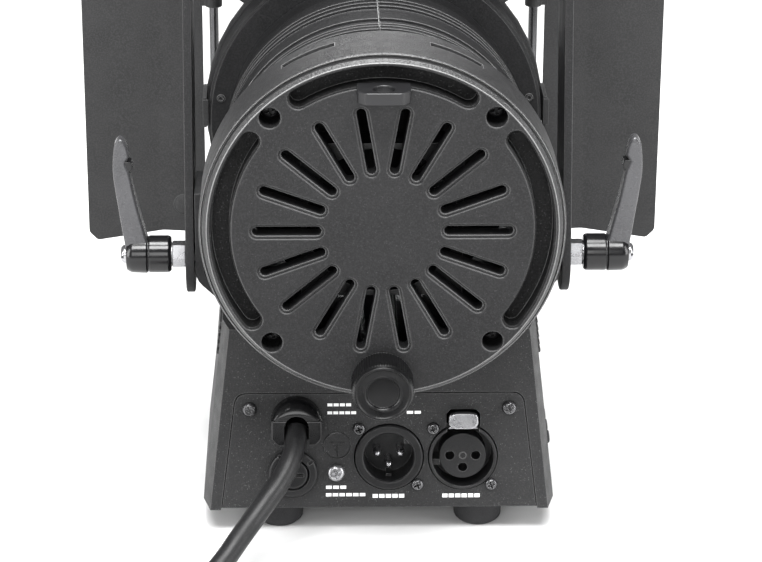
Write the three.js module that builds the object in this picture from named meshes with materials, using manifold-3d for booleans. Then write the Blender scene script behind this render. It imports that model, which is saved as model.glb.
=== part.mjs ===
// Compact LED theatre spotlight (par can) with barn doors, yoke, clamp levers and a base with its connectors.
// Millimetres, +Z up. The lens faces -Y and the connector panel faces +Y. The origin is on the floor,
// under the middle of the lamp. "Left" is +X, the left hand of a person who stands behind the lamp.

import * as THREE from 'three';
import { mergeVertices } from 'three/addons/utils/BufferGeometryUtils.js';
import Module from 'manifold-3d';

const wasm = await Module();
wasm.setup();

// ---------------------------------------------------------------- driving dimensions

const GAP = 0.3;                        // clearance between pieces that touch
const DEG = Math.PI / 180;

const CAP_FACE_Y = 75.8;                // rear face of the head, from the origin
const HEAD_AXIS_Z = 116;                // height of the head's axis over the floor

// Head. Lengths along the head are measured from the rear face, forward is negative.
const CAP_R = 56.2;
const CAP_DEPTH = 25;
const CAP_WALL = 2.5;
const CAP_FACE = 3.2;
const CAP_CHAMFER = 3;
const TROUGH_FLOOR = -7;                // floor of the arc-shaped recesses in the cap
const RAY_COUNT = 18;
const RAY_INNER_R = 18.6;
const RAY_OUTER_R = 39.8;
const RAY_WIDTH = 3;
const ARC_INNER_R = 46.6;
const ARC_OUTER_R = 52.6;
const CAP_SCREW_R = 50;
const CAP_SCREW_ANGLE = 43 * DEG;       // from the vertical
const SHELL_R = 48.8;
const FIN_R = 50;
const SHELL_IN_R = 47;
const SHELL_FROM = -18.6;
const SHELL_TO = -102.7;
const FINS = [[-30, -33], [-36, -39], [-42, -44.5], [-46.7, -48.5], [-49.8, -51.2], [-52.3, -54.5],
  [-58, -68.3], [-71.2, -73], [-75.2, -77], [-78.8, -81]];
const RING_FROM = -103;
const RING_TO = -116.6;
const RING_R = 56.2;
const RING_BORE_R = 51.4;
const RING_LIP_R = 46;
const RING_LIP = 1.7;

// Barn doors
const FRAME_FROM = RING_TO - GAP;
const FRAME_THICK = 2;
const FRAME_R = 57.4;
const EAR_FROM = 37;                    // the frame's four ears, from the axis to their outer edges
const EAR_TO = 58;
const APERTURE_R = 47;
const SIDE_PIN_X = 54.5;
const SIDE_PIN_Y = -129;
const WIDE_PIN_Z = 56;
const WIDE_PIN_Y = -123;
const PIN_R = 1.6;
const KNUCKLE_BORE_R = 1.95;
const KNUCKLE_R = 3;
const LEAF_THICK = 1.2;
const LEAF_START = 4;
const LEAF_FOLD = 19.3;
const LEAF_LENGTH = 45.4;
const LEAF_FLARE = 6 * DEG;
const SIDE_OPEN = 82 * DEG;             // from parallel to the beam, at rest
const TOP_OPEN = 50 * DEG;
const BOTTOM_OPEN = 25.3 * DEG;

// Yoke and its clamps
const PIVOT_Y = -62;
const PIVOT_Z = -31.5;
const ARM_OUT_X = 62.5;
const ARM_THICK = 2.8;
const ARM_WIDTH = 25;
const YOKE_HEIGHT = 135;
const YOKE_BEND_R = 10;
const YOKE_LEAN = 12 * DEG;
const BOLT_HOLE_R = 5.25;
const BRACKET_X = 56.6;
const BRACKET_THICK = 2.7;
const STUD_R = 2.8;
const STUD_HOLE_R = 3.3;

// Base
const BASE_BOTTOM = -107;
const BASE_TOP = -46;
const BASE_HALF_BOTTOM = 57.5;
const BASE_HALF_TOP = 50.6;
const BASE_REAR_BOTTOM = -25.5;
const BASE_REAR_TOP = -32.35;
const BASE_FRONT_BOTTOM = -107;
const BASE_FRONT_TOP = -101;
const BASE_WALL = 2.6;
const BASE_REAR_WALL = 3.2;
const BASE_CHAMFER = 3;                 // front corners; the rear ones are cut back further
const BASE_REAR_CHAMFER = [2.4, 9];     // across and along the lamp
const SADDLE_R = FIN_R + GAP;
const CAVITY_TOP = -60;
const FOOT_R = 8;
const FOOT_HEIGHT = -BASE_BOTTOM - GAP;
const FOOT_X = 32.7;
const FOOT_REAR_Y = -37.8;
const FOOT_FRONT_Y = -95;

// Connector panel: its own frame lies in the sloping rear face, y out of the panel, z up along it.
const PANEL_SLOPE = Math.atan2(BASE_REAR_BOTTOM - BASE_REAR_TOP, BASE_TOP - BASE_BOTTOM);
const PANEL_Z = -80.3;
const PANEL_Y = BASE_REAR_BOTTOM - (PANEL_Z - BASE_BOTTOM) * Math.tan(PANEL_SLOPE);
const PANEL_THICK = 1.2;
const PANEL_TOP = 12.8;
const PANEL_BOTTOM = -26.2;
const PANEL_HALF_TOP = 46.3;
const PANEL_HALF_BOTTOM = 51.2;
const XLR_Z = -8.9;
const DMX_IN_X = -3.1;
const DMX_OUT_X = -27.1;
const XLR_R = 11.1;
const XLR_DEPTH = 18;
const PANEL_SCREW_X = 42;
const PANEL_SCREW_Z = 7.7;
const EARTH_X = 14.1;
const EARTH_Z = -14;
const FUSE_X = 28.1;
const FUSE_Z = -14.2;
const GLAND_X = 26.8;
const GLAND_Z = 4;
const GLAND_R = 8.2;
const GLAND_DEPTH = 7;

// Optics, fan and zoom drive inside the head
const ZOOM_Z = -49.2;
const SPINDLE_R = 2;
const KNOB_R = 9.6;
const KNOB_LENGTH = 11.5;
const CARRIAGE_Y = -60;
const GUIDE_X = 34;
const GUIDE_Z = 18;
const FAN_HALF = 25;
const FAN_FROM = -10;
const FAN_TO = -21;
const FAN_BORE_R = 23.5;

// Control side of the base: its own frame lies in the sloping right side, x out of the side.
const SIDE_SLOPE = Math.atan2(BASE_HALF_BOTTOM - BASE_HALF_TOP, BASE_TOP - BASE_BOTTOM);
const CONTROL_Z = -84;
const CONTROL_Y = -66;
const BUTTON_R = 2.3;
const BUTTON_PITCH = 9;

// Power cord and plug, in the frame of the floor
const CORD_R = 3.5;
const COIL_CENTRE = [30, 158];
const COIL_IN_R = 26.2;
const COIL_OUT_R = 52.4;
const COIL_HEIGHT = 14.4;
const PLUG_HEADING = 210 * DEG;
const PLUG_RISE = 22 * DEG;
const PLUG_ENTRY = [-14, 197.5, 6.05];
const PLUG_R = 18.5;

// ---------------------------------------------------------------- shaping helpers

// A closed three.js geometry as a solid, turned right side out.
function solid(geometry) {
  const bare = geometry.clone();
  bare.deleteAttribute('normal');
  bare.deleteAttribute('uv');
  const merged = mergeVertices(bare, 1e-4);
  const source = merged.index.array;
  const triangles = [];
  for (let i = 0; i < source.length; i += 3) {
    const [a, b, c] = [source[i], source[i + 1], source[i + 2]];
    if (a !== b && b !== c && c !== a) triangles.push(a, b, c);
  }
  const vertProperties = new Float32Array(merged.attributes.position.array);
  const build = (list) => new wasm.Manifold(
    new wasm.Mesh({ numProp: 3, vertProperties, triVerts: new Uint32Array(list) }));
  const made = build(triangles);
  return made.volume() < 0 ? build(triangles.reverse()) : made;
}

const join = (...solids) => solids.reduce((whole, next) => whole.add(next));
const cut = (whole, ...tools) => tools.reduce((left, tool) => left.subtract(tool), whole);

function box(x0, x1, y0, y1, z0, z1) {
  const geometry = new THREE.BoxGeometry(x1 - x0, y1 - y0, z1 - z0);
  return solid(geometry.translate((x0 + x1) / 2, (y0 + y1) / 2, (z0 + z1) / 2));
}

// Turns a geometry that was made along Y so that it runs along the named axis.
function along(axis, geometry) {
  if (axis === 'x') return geometry.rotateZ(-Math.PI / 2);
  if (axis === 'z') return geometry.rotateX(Math.PI / 2);
  return geometry;
}

// A round bar from one place to another along an axis, at an offset [x, y, z] from it.
function bar(axis, radius, from, to, offset = [0, 0, 0], sides = 16) {
  const geometry = new THREE.CylinderGeometry(radius, radius, to - from, sides);
  geometry.translate(0, (from + to) / 2, 0);
  return solid(along(axis, geometry).translate(...offset));
}

// A turned solid: pairs of radius and place along the axis. A profile off the axis closes on itself.
function turned(axis, profile, offset = [0, 0, 0], sides = 48) {
  const points = profile.map(([radius, place]) => new THREE.Vector2(radius, place));
  if (profile[0][0] > 0) points.push(points[0].clone());
  return solid(along(axis, new THREE.LatheGeometry(points, sides)).translate(...offset));
}

const outline = (points) => new THREE.Shape(points.map(([a, b]) => new THREE.Vector2(a, b)));

// An outline drawn in X and Z, running along Y.
function alongY(shape, from, to, curveSegments = 6) {
  const geometry = new THREE.ExtrudeGeometry(shape, { depth: to - from, bevelEnabled: false, curveSegments });
  return solid(geometry.rotateX(Math.PI / 2).translate(0, to, 0));
}

// An outline drawn in X and Y, running along Z.
function alongZ(shape, from, to, curveSegments = 6) {
  const geometry = new THREE.ExtrudeGeometry(shape, { depth: to - from, bevelEnabled: false, curveSegments });
  return solid(geometry.translate(0, 0, from));
}

// An outline drawn in Y and Z, running along X.
function alongX(shape, from, to, curveSegments = 6) {
  const geometry = new THREE.ExtrudeGeometry(shape, { depth: to - from, bevelEnabled: false, curveSegments });
  const turn = new THREE.Matrix4().makeBasis(
    new THREE.Vector3(0, 1, 0), new THREE.Vector3(0, 0, 1), new THREE.Vector3(1, 0, 0));
  return solid(geometry.applyMatrix4(turn).translate(from, 0, 0));
}

// A skin through like outlines at rising heights: each section is [height, [[x, y], ...]].
function loft(sections) {
  const count = sections[0][1].length;
  const position = sections.flatMap(([height, ring]) => ring.flatMap(([x, y]) => [x, y, height]));
  const faces = [];
  for (let level = 0; level + 1 < sections.length; level += 1) {
    for (let i = 0; i < count; i += 1) {
      const [a, b] = [level * count + i, level * count + (i + 1) % count];
      faces.push(a, b, b + count, a, b + count, a + count);
    }
  }
  const cap = THREE.ShapeUtils.triangulateShape(sections[0][1].map(([x, y]) => new THREE.Vector2(x, y)), []);
  const last = (sections.length - 1) * count;
  for (const [a, b, c] of cap) {
    faces.push(a, c, b, last + a, last + b, last + c);
  }
  const geometry = new THREE.BufferGeometry();
  geometry.setAttribute('position', new THREE.Float32BufferAttribute(position, 3));
  geometry.setIndex(faces);
  return solid(geometry);
}

// A box outline with its corners cut off.
function chamfered(x0, x1, y0, y1, c) {
  return [[x0 + c, y0], [x1 - c, y0], [x1, y0 + c], [x1, y1 - c],
    [x1 - c, y1], [x0 + c, y1], [x0, y1 - c], [x0, y0 + c]];
}

function moved(whole, matrix) {
  return whole.transform(matrix.elements);
}

const mirrorX = (whole) => whole.mirror([1, 0, 0]);

// ---------------------------------------------------------------- assembly helpers

const lamp = new THREE.Group();
lamp.name = 'par_can_light';
const head = new THREE.Group();
head.position.set(0, CAP_FACE_Y, HEAD_AXIS_Z);
lamp.add(head);

// Gives every mesh a material of its own.
function finish(color, roughness, metalness, extra = {}) {
  return () => new THREE.MeshStandardMaterial({ color, roughness, metalness, ...extra });
}

const powderCoat = finish(0x2a2a2b, 0.62, 0.2);
const satinCast = finish(0x242426, 0.5, 0.3);
const sheetBlack = finish(0x262627, 0.7, 0.15);
const glossNylon = finish(0x0c0c0d, 0.25, 0);
const rubber = finish(0x141414, 0.85, 0);
const zinc = finish(0xc9cacb, 0.3, 0.9);
const blackScrew = finish(0x18181a, 0.3, 0.8);
const aluminium = finish(0xb9bcc0, 0.4, 0.85);
const boardGreen = finish(0x1f5a34, 0.5, 0);
const glass = finish(0xe8f2f5, 0.05, 0, { transparent: true, opacity: 0.35 });
const leverMetal = finish(0x2e2f31, 0.35, 0.6);
const ledYellow = finish(0xe6d27a, 0.4, 0);

function place(parent, name, whole, makeMaterial) {
  const mesh = whole.getMesh();
  const geometry = new THREE.BufferGeometry();
  geometry.setAttribute('position', new THREE.BufferAttribute(mesh.vertProperties, 3));
  geometry.setIndex(new THREE.BufferAttribute(mesh.triVerts, 1));
  geometry.computeVertexNormals();
  const made = new THREE.Mesh(geometry, makeMaterial());
  made.name = name;
  parent.add(made);
}

function group(parent, position, rotation = [0, 0, 0]) {
  const made = new THREE.Group();
  made.position.set(...position);
  made.rotation.set(...rotation);
  parent.add(made);
  made.updateMatrix();
  return made;
}

const panel = group(head, [0, PANEL_Y, PANEL_Z], [PANEL_SLOPE, 0, 0]);
const controlHalf = BASE_HALF_BOTTOM - (CONTROL_Z - BASE_BOTTOM) * Math.tan(SIDE_SLOPE);
const controls = group(head, [-controlHalf, CONTROL_Y, CONTROL_Z], [0, Math.PI + SIDE_SLOPE, 0]);

// ---------------------------------------------------------------- rear cap

function raySlot(angle) {
  const shape = new THREE.Shape();
  const half = RAY_WIDTH / 2;
  shape.absarc(0, RAY_OUTER_R - half, half, 0, Math.PI, false);
  shape.absarc(0, RAY_INNER_R + half, half, Math.PI, 2 * Math.PI, false);
  return moved(alongY(shape, -CAP_FACE - 1, 1, 2), new THREE.Matrix4().makeRotationY(angle));
}

function arcSlot(middle, half) {
  const shape = new THREE.Shape();
  const mid = (ARC_INNER_R + ARC_OUTER_R) / 2;
  const end = (ARC_OUTER_R - ARC_INNER_R) / 2;
  const [from, to] = [middle - half, middle + half];
  shape.absarc(0, 0, ARC_OUTER_R, from, to, false);
  shape.absarc(mid * Math.cos(to), mid * Math.sin(to), end, to, to + Math.PI, false);
  shape.absarc(0, 0, ARC_INNER_R, to, from, true);
  shape.absarc(mid * Math.cos(from), mid * Math.sin(from), end, from + Math.PI, from + 2 * Math.PI, false);
  return alongY(shape, -CAP_FACE - 1, 1, 5);
}

const capScrewSides = [['top_left', 1, 1], ['top_right', -1, 1],
  ['bottom_left', 1, -1], ['bottom_right', -1, -1]];
const capScrewPlaces = capScrewSides.map(([, sx, sz]) => [
  sx * CAP_SCREW_R * Math.sin(CAP_SCREW_ANGLE), 0, sz * CAP_SCREW_R * Math.cos(CAP_SCREW_ANGLE)]);

function rearCap() {
  const wallIn = CAP_R - CAP_WALL;
  const cup = turned('y', [[0, 0], [CAP_R - CAP_CHAMFER, 0], [CAP_R, -CAP_CHAMFER], [CAP_R, -CAP_DEPTH],
    [FIN_R + GAP, -CAP_DEPTH], [FIN_R + GAP, -CAP_DEPTH + 2.5], [wallIn, -CAP_DEPTH + 2.5],
    [wallIn, -CAP_FACE], [0, -CAP_FACE]], [0, 0, 0], 60);
  const bosses = capScrewPlaces.map((at) => bar('y', 4.9, -12, -CAP_FACE + 1, at, 12));
  const eyeShape = outline([[-8, -1], [8, -1], [8, 7], [5.5, 9.5], [-5.5, 9.5], [-8, 7]]);
  const eye = alongZ(eyeShape, 43.5, 47.4);
  const troughFloor = turned('y', [[ARC_INNER_R - 1.4, TROUGH_FLOOR], [wallIn + 0.5, TROUGH_FLOOR],
    [wallIn + 0.5, TROUGH_FLOOR - 1.5], [ARC_INNER_R - 1.4, TROUGH_FLOOR - 1.5]], [0, 0, 0], 60);
  const whole = join(cup, troughFloor, ...bosses, eye);
  const rays = Array.from({ length: RAY_COUNT }, (_, i) => raySlot((i + 0.5) * 2 * Math.PI / RAY_COUNT));
  return cut(whole, ...rays,
    arcSlot(Math.PI / 2, 31 * DEG), arcSlot(0, 36 * DEG), arcSlot(Math.PI, 36 * DEG),
    ...capScrewPlaces.map((at) => bar('y', 3.8, -10, 1, at, 12)),
    ...capScrewPlaces.map((at) => bar('y', 1.9, -13, 1, at, 8)),
    bar('z', 3.3, 40, 50, [0, 5, 0], 16),
    bar('y', SPINDLE_R + GAP, -30, 1, [0, 0, ZOOM_Z], 12));
}

place(head, 'rear_cap', rearCap(), satinCast);
capScrewPlaces.forEach((at, i) => {
  const whole = join(bar('y', 3.2, -9.7, -7.4, at, 12), bar('y', 1.5, -18, -9.5, at, 8));
  place(head, `cap_screw_${capScrewSides[i][0]}`, whole, blackScrew);
});

// ---------------------------------------------------------------- body shells

// Half of the finned body. The slit under it lets the zoom carriage reach its spindle.
function shellHalf() {
  const fins = [];
  for (const [from, to] of FINS) {
    fins.push([SHELL_R, from], [FIN_R, from], [FIN_R, to], [SHELL_R, to]);
  }
  const profile = [[SHELL_R, SHELL_FROM], ...fins, [SHELL_R, SHELL_TO],
    [SHELL_IN_R, SHELL_TO], [SHELL_IN_R, SHELL_FROM]];
  const whole = turned('y', profile, [0, 0, 0], 40);
  return cut(whole, box(-70, GAP / 2, -110, 0, -70, 70), box(-6, 6, -110, 0, -70, 0));
}

const shellLeft = shellHalf();
place(head, 'shell_left', shellLeft, satinCast);
place(head, 'shell_right', mirrorX(shellLeft), satinCast);

// ---------------------------------------------------------------- front ring, lens and retainer

const ringProfile = [[RING_LIP_R, RING_FROM], [RING_R, RING_FROM], [RING_R, RING_TO], [RING_BORE_R, RING_TO],
  [RING_BORE_R, RING_FROM - RING_LIP], [RING_LIP_R, RING_FROM - RING_LIP]];
place(head, 'front_ring', turned('y', ringProfile, [0, 0, 0], 48), satinCast);

// Plano-convex lens, flat side to the lamp.
function lens() {
  const [flat, edge, crown, radius] = [-105, -108, 5.5, 51];
  const curve = [1, 0.8, 0.6, 0.4, 0.2, 0].map((t) => [radius * t, edge - crown * (1 - t * t)]);
  return turned('y', [[0, flat], [radius, flat], ...curve], [0, 0, 0], 36);
}

place(head, 'lens', lens(), glass);
const retainerProfile = [[45.5, -109.6], [51.1, -109.6], [51.1, -111.8], [45.5, -111.8]];
place(head, 'lens_retainer', turned('y', retainerProfile, [0, 0, 0], 36), sheetBlack);

// ---------------------------------------------------------------- barn-door frame, pins and leaves

const LUG_HALF = 2.6;

function barnDoorFrame() {
  const front = FRAME_FROM - FRAME_THICK;
  const disc = bar('y', FRAME_R, front, FRAME_FROM, [0, 0, 0], 40);
  const ears = [];
  const lugs = [];
  for (const side of [-1, 1]) {
    for (const end of [-1, 1]) {
      const x = side * SIDE_PIN_X;
      const z = side * WIDE_PIN_Z;
      const ear = outline([[32, EAR_FROM], [EAR_TO, EAR_FROM], [EAR_TO, 52], [52, EAR_TO], [32, EAR_TO]]
        .map(([a, b]) => [side * a, end * b]));
      ears.push(alongY(ear, front, FRAME_FROM));
      const [up, across] = [end * 42.5, end * 40.5];
      const root = front + 0.5;
      lugs.push(box(x - LUG_HALF, x + LUG_HALF, SIDE_PIN_Y - LUG_HALF, root, up - 2.5, up + 2.5));
      lugs.push(box(across - 2.5, across + 2.5, WIDE_PIN_Y - LUG_HALF, root, z - LUG_HALF, z + LUG_HALF));
    }
    // A tongue that clips over the front ring.
    const tongue = [side * (RING_R + 0.4), side * (RING_R + 1.8)].sort((a, b) => a - b);
    lugs.push(box(...tongue, front + 0.5, RING_FROM - 0.5, -2.3, 8.3));
  }
  const pinHoles = [-1, 1].flatMap((side) => [
    bar('z', KNUCKLE_BORE_R, -50, 50, [side * SIDE_PIN_X, SIDE_PIN_Y, 0], 12),
    bar('x', KNUCKLE_BORE_R, -50, 50, [0, WIDE_PIN_Y, side * WIDE_PIN_Z], 12)]);
  const aperture = bar('y', APERTURE_R, front - 1, FRAME_FROM + 1, [0, 0, 0], 40);
  return cut(join(disc, ...ears, ...lugs), aperture, ...pinHoles);
}

place(head, 'barn_door_frame', barnDoorFrame(), sheetBlack);

// A leaf on a hinge along Z that opens to +X: its knuckles, a strip, a fold and the flared main part.
function leaf(halfAtFold, halfAtEdge) {
  const corner = 3;
  const strip = box(LEAF_START, LEAF_FOLD, -LEAF_THICK / 2, LEAF_THICK / 2, -halfAtFold, halfAtFold);
  const reach = LEAF_LENGTH - LEAF_FOLD;
  const flareShape = outline([[-0.4, -halfAtFold], [reach - corner, -halfAtEdge],
    [reach, -halfAtEdge + corner], [reach, halfAtEdge - corner], [reach - corner, halfAtEdge],
    [-0.4, halfAtFold]]);
  const flareTurn = new THREE.Matrix4().makeTranslation(LEAF_FOLD, 0, 0)
    .multiply(new THREE.Matrix4().makeRotationZ(LEAF_FLARE));
  const flare = moved(alongY(flareShape, -LEAF_THICK / 2, LEAF_THICK / 2), flareTurn);
  const knuckles = [-30, 30].map((middle) => join(
    bar('z', KNUCKLE_R, middle - 6, middle + 6, [0, 0, 0], 14),
    box(KNUCKLE_BORE_R + 0.3, LEAF_START + 1, -LEAF_THICK / 2, LEAF_THICK / 2, middle - 6, middle + 6)));
  return cut(join(strip, flare, ...knuckles), bar('z', KNUCKLE_BORE_R, -50, 50, [0, 0, 0], 14));
}

const sideLeaf = leaf(50, 54);
const wideLeaf = leaf(48, 49);
const quarter = new THREE.Matrix4().makeRotationY(-Math.PI / 2);
const threeQuarter = new THREE.Matrix4().makeRotationY(Math.PI / 2);
const sideRest = SIDE_OPEN - Math.PI / 2;

for (const [side, name] of [[1, 'left'], [-1, 'right']]) {
  const pin = bar('z', PIN_R, -46, 46, [side * SIDE_PIN_X, SIDE_PIN_Y, 0], 12);
  place(head, `hinge_pin_${name}`, pin, blackScrew);
  const hinge = group(head, [side * SIDE_PIN_X, SIDE_PIN_Y, 0], [0, 0, side * sideRest]);
  place(hinge, `leaf_${name}`, side > 0 ? sideLeaf : mirrorX(sideLeaf), sheetBlack);
}
for (const [side, name] of [[1, 'top'], [-1, 'bottom']]) {
  const pin = bar('x', PIN_R, -44, 44, [0, WIDE_PIN_Y, side * WIDE_PIN_Z], 12);
  place(head, `hinge_pin_${name}`, pin, blackScrew);
  const lean = side > 0 ? Math.PI / 2 - TOP_OPEN : BOTTOM_OPEN - Math.PI / 2;
  const hinge = group(head, [0, WIDE_PIN_Y, side * WIDE_PIN_Z], [lean, 0, 0]);
  place(hinge, `leaf_${name}`, moved(wideLeaf, side > 0 ? quarter : threeQuarter), sheetBlack);
}

// ---------------------------------------------------------------- yoke, brackets and clamp levers

function yoke() {
  const bendIn = YOKE_BEND_R - ARM_THICK;
  const [out, inside, top] = [ARM_OUT_X, ARM_OUT_X - ARM_THICK, YOKE_HEIGHT];
  const shape = new THREE.Shape();
  shape.moveTo(out, -ARM_WIDTH);
  shape.absarc(out - YOKE_BEND_R, top - YOKE_BEND_R, YOKE_BEND_R, 0, Math.PI / 2, false);
  shape.absarc(-out + YOKE_BEND_R, top - YOKE_BEND_R, YOKE_BEND_R, Math.PI / 2, Math.PI, false);
  shape.lineTo(-out, -ARM_WIDTH);
  shape.lineTo(-inside, -ARM_WIDTH);
  shape.absarc(-out + YOKE_BEND_R, top - YOKE_BEND_R, bendIn, Math.PI, Math.PI / 2, true);
  shape.absarc(out - YOKE_BEND_R, top - YOKE_BEND_R, bendIn, Math.PI / 2, 0, true);
  shape.lineTo(inside, -ARM_WIDTH);
  const strip = alongY(shape, -ARM_WIDTH / 2, ARM_WIDTH / 2, 3);
  const side = new THREE.Shape();
  side.absarc(0, 0, ARM_WIDTH / 2, Math.PI, 2 * Math.PI, false);
  side.lineTo(ARM_WIDTH / 2, top + 1);
  side.lineTo(-ARM_WIDTH / 2, top + 1);
  const rounded = strip.intersect(alongX(side, -out - 1, out + 1, 5));
  return cut(rounded, bar('x', STUD_HOLE_R, -out - 1, out + 1, [0, 0, 0], 16),
    bar('z', BOLT_HOLE_R, top - 2 * ARM_THICK, top + 1, [0, 0, 0], 20));
}

const yokeGroup = group(head, [0, PIVOT_Y, PIVOT_Z], [YOKE_LEAN, 0, 0]);
place(yokeGroup, 'yoke', yoke(), powderCoat);

// A strap that stands on the ledge of the base, slopes outward and rises to carry one end of the yoke.
function yokeBracket() {
  const top = PIVOT_Z + 25;
  const bottom = BASE_TOP + GAP;
  const outside = BRACKET_X + BRACKET_THICK;
  const bend = PIVOT_Z - 5;
  const side = outline([[41, bottom], [49.6, bottom], [outside, bend], [outside, top], [BRACKET_X, top],
    [BRACKET_X, bend + 1.5], [48.6, bottom + 2.5], [41, bottom + 2.5]]);
  return cut(alongY(side, PIVOT_Y - 11, PIVOT_Y + 11),
    bar('x', STUD_HOLE_R, 50, 65, [0, PIVOT_Y, PIVOT_Z], 16));
}

// Hexagon collar with its stud, the sleeve that the handle slides on, and the screw that holds it.
function leverInsert() {
  return join(bar('x', STUD_R, 52, 63.2, [0, 0, 0], 12), bar('x', 4.2, ARM_OUT_X + GAP, 67, [0, 0, 0], 6),
    bar('x', 3.4, 66.8, 81, [0, 0, 0], 12), bar('x', 3, 80.8, 84, [0, 0, 0], 12));
}

// Round hub in two steps with the handle rising from its outer step and leaning outward.
function leverHandle() {
  const hub = turned('x', [[4, 67.4], [6.1, 67.4], [6.1, 74.8], [5.6, 75.3], [6.1, 75.8], [6.1, 82], [4, 82]],
    [0, 0, 0], 20);
  const section = (height, x0, x1, halfY, c) => [height, chamfered(x0, x1, -halfY, halfY, c)];
  const handle = loft([section(3.5, 75.6, 82, 4.6, 1.2), section(8, 76.2, 83, 4.2, 1.2),
    section(20, 78.4, 84.6, 3.7, 1.1), section(32, 79.8, 85.6, 3.4, 1.1), section(38.5, 80.4, 85.4, 3, 1),
    section(41.2, 81.4, 84.4, 1.8, 0.6)]);
  return cut(join(hub, handle), bar('x', 4, 66, 90, [0, 0, 0], 20));
}

const bracket = yokeBracket();
const insert = leverInsert();
const handle = leverHandle();
for (const [side, name] of [[1, 'left'], [-1, 'right']]) {
  const sided = (whole) => (side > 0 ? whole : mirrorX(whole));
  place(head, `yoke_bracket_${name}`, sided(bracket), powderCoat);
  const lever = group(head, [0, PIVOT_Y, PIVOT_Z]);
  place(lever, `lever_insert_${name}`, sided(insert), zinc);
  place(lever, `lever_handle_${name}`, sided(handle), leverMetal);
}

// ---------------------------------------------------------------- zoom drive, light source and fan

const zoom = group(head, [0, 0, ZOOM_Z]);
place(zoom, 'zoom_spindle', bar('y', SPINDLE_R, -92, 6.2, [0, 0, 0], 12), aluminium);
const knobProfile = [[0, 0.5], [KNOB_R, 0.5], [KNOB_R, KNOB_LENGTH - 1.5], [KNOB_R - 1, KNOB_LENGTH],
  [5.6, KNOB_LENGTH], [4.8, KNOB_LENGTH - 1.2], [0, KNOB_LENGTH - 1.2]];
const knobBore = bar('y', SPINDLE_R + GAP, 0, 6.5, [0, 0, 0], 12);
place(zoom, 'zoom_knob', cut(turned('y', knobProfile, [0, 0, 0], 28), knobBore), glossNylon);

const guidePlaces = [[GUIDE_X, 0, GUIDE_Z], [-GUIDE_X, 0, GUIDE_Z]];
guidePlaces.forEach((at, i) => {
  place(head, `guide_rod_${i ? 'right' : 'left'}`, bar('y', 2.4, -101.5, -27, at, 10), aluminium);
});

// Plate with cooling fins behind it and a threaded lug under it.
function ledCarriage() {
  const plate = bar('y', 45.5, CARRIAGE_Y - 3, CARRIAGE_Y, [0, 0, 0], 28);
  const fins = [-21, -14, -7, 0, 7, 14, 21].map((x) => (
    box(x - 0.8, x + 0.8, CARRIAGE_Y - 1, CARRIAGE_Y + 12, -24, 24)));
  const lug = box(-4.5, 4.5, CARRIAGE_Y - 6, CARRIAGE_Y + 3, -53, -42);
  return cut(join(plate, ...fins, lug), bar('y', SPINDLE_R + GAP, -80, -40, [0, 0, ZOOM_Z], 12),
    ...guidePlaces.map((at) => bar('y', 2.8, -80, -40, at, 12)));
}

function ledModule() {
  const back = CARRIAGE_Y - 3 - GAP;
  const board = box(-13, 13, back - 1.6, back, -13, 13);
  const dome = turned('y', [[0, back - 1], [8, back - 1], [8, back - 2.5], [7, back - 5.5], [4.4, back - 8],
    [0, back - 9]], [0, 0, 0], 20);
  return join(board, dome);
}

place(head, 'led_carriage', ledCarriage(), aluminium);
place(head, 'led_module', ledModule(), ledYellow);

function fanFrame() {
  const h = FAN_HALF;
  const bore = bar('y', FAN_BORE_R, FAN_TO - 1, FAN_FROM + 1, [0, 0, 0], 32);
  const frame = cut(box(-h, h, FAN_TO, FAN_FROM, -h, h), bore);
  const struts = [45, 135].map((angle) => moved(
    box(-FAN_BORE_R - 0.5, FAN_BORE_R + 0.5, FAN_TO, FAN_TO + 1.6, -1, 1),
    new THREE.Matrix4().makeRotationY(angle * DEG)));
  return join(frame, ...struts, bar('y', 8.5, FAN_TO, FAN_TO + 1.6, [0, 0, 0], 20));
}

function fanRotor() {
  const hub = bar('y', 9, FAN_TO + 2.1, FAN_FROM - 0.5, [0, 0, 0], 20);
  const blades = Array.from({ length: 7 }, (_, i) => moved(
    box(8, 22.3, -0.6, 0.6, -4.2, 4.2),
    new THREE.Matrix4().makeRotationY(i * 2 * Math.PI / 7)
      .multiply(new THREE.Matrix4().makeTranslation(0, (FAN_FROM + FAN_TO) / 2 + 0.8, 0))
      .multiply(new THREE.Matrix4().makeRotationX(52 * DEG))));
  return join(hub, ...blades);
}

place(head, 'fan_frame', fanFrame(), glossNylon);
place(head, 'fan_rotor', fanRotor(), glossNylon);

// ---------------------------------------------------------------- base

// Outline of the base at a height, drawn in from its outside by an inset on each side.
function baseOutline(height, inset, rearInset) {
  const t = (height - BASE_BOTTOM) / (BASE_TOP - BASE_BOTTOM);
  const half = BASE_HALF_BOTTOM + (BASE_HALF_TOP - BASE_HALF_BOTTOM) * t - inset;
  const rear = BASE_REAR_BOTTOM + (BASE_REAR_TOP - BASE_REAR_BOTTOM) * t - rearInset;
  const front = BASE_FRONT_BOTTOM + (BASE_FRONT_TOP - BASE_FRONT_BOTTOM) * t + inset;
  const c = BASE_CHAMFER;
  const [across, back] = BASE_REAR_CHAMFER;
  return [[-half + c, front], [half - c, front], [half, front + c], [half, rear - back],
    [half - across, rear], [across - half, rear], [-half, rear - back], [-half, front + c]];
}

const panelWidening = (PANEL_HALF_BOTTOM - PANEL_HALF_TOP) / (PANEL_TOP - PANEL_BOTTOM);
const panelHalf = (z) => PANEL_HALF_TOP + panelWidening * (PANEL_TOP - z);

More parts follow.
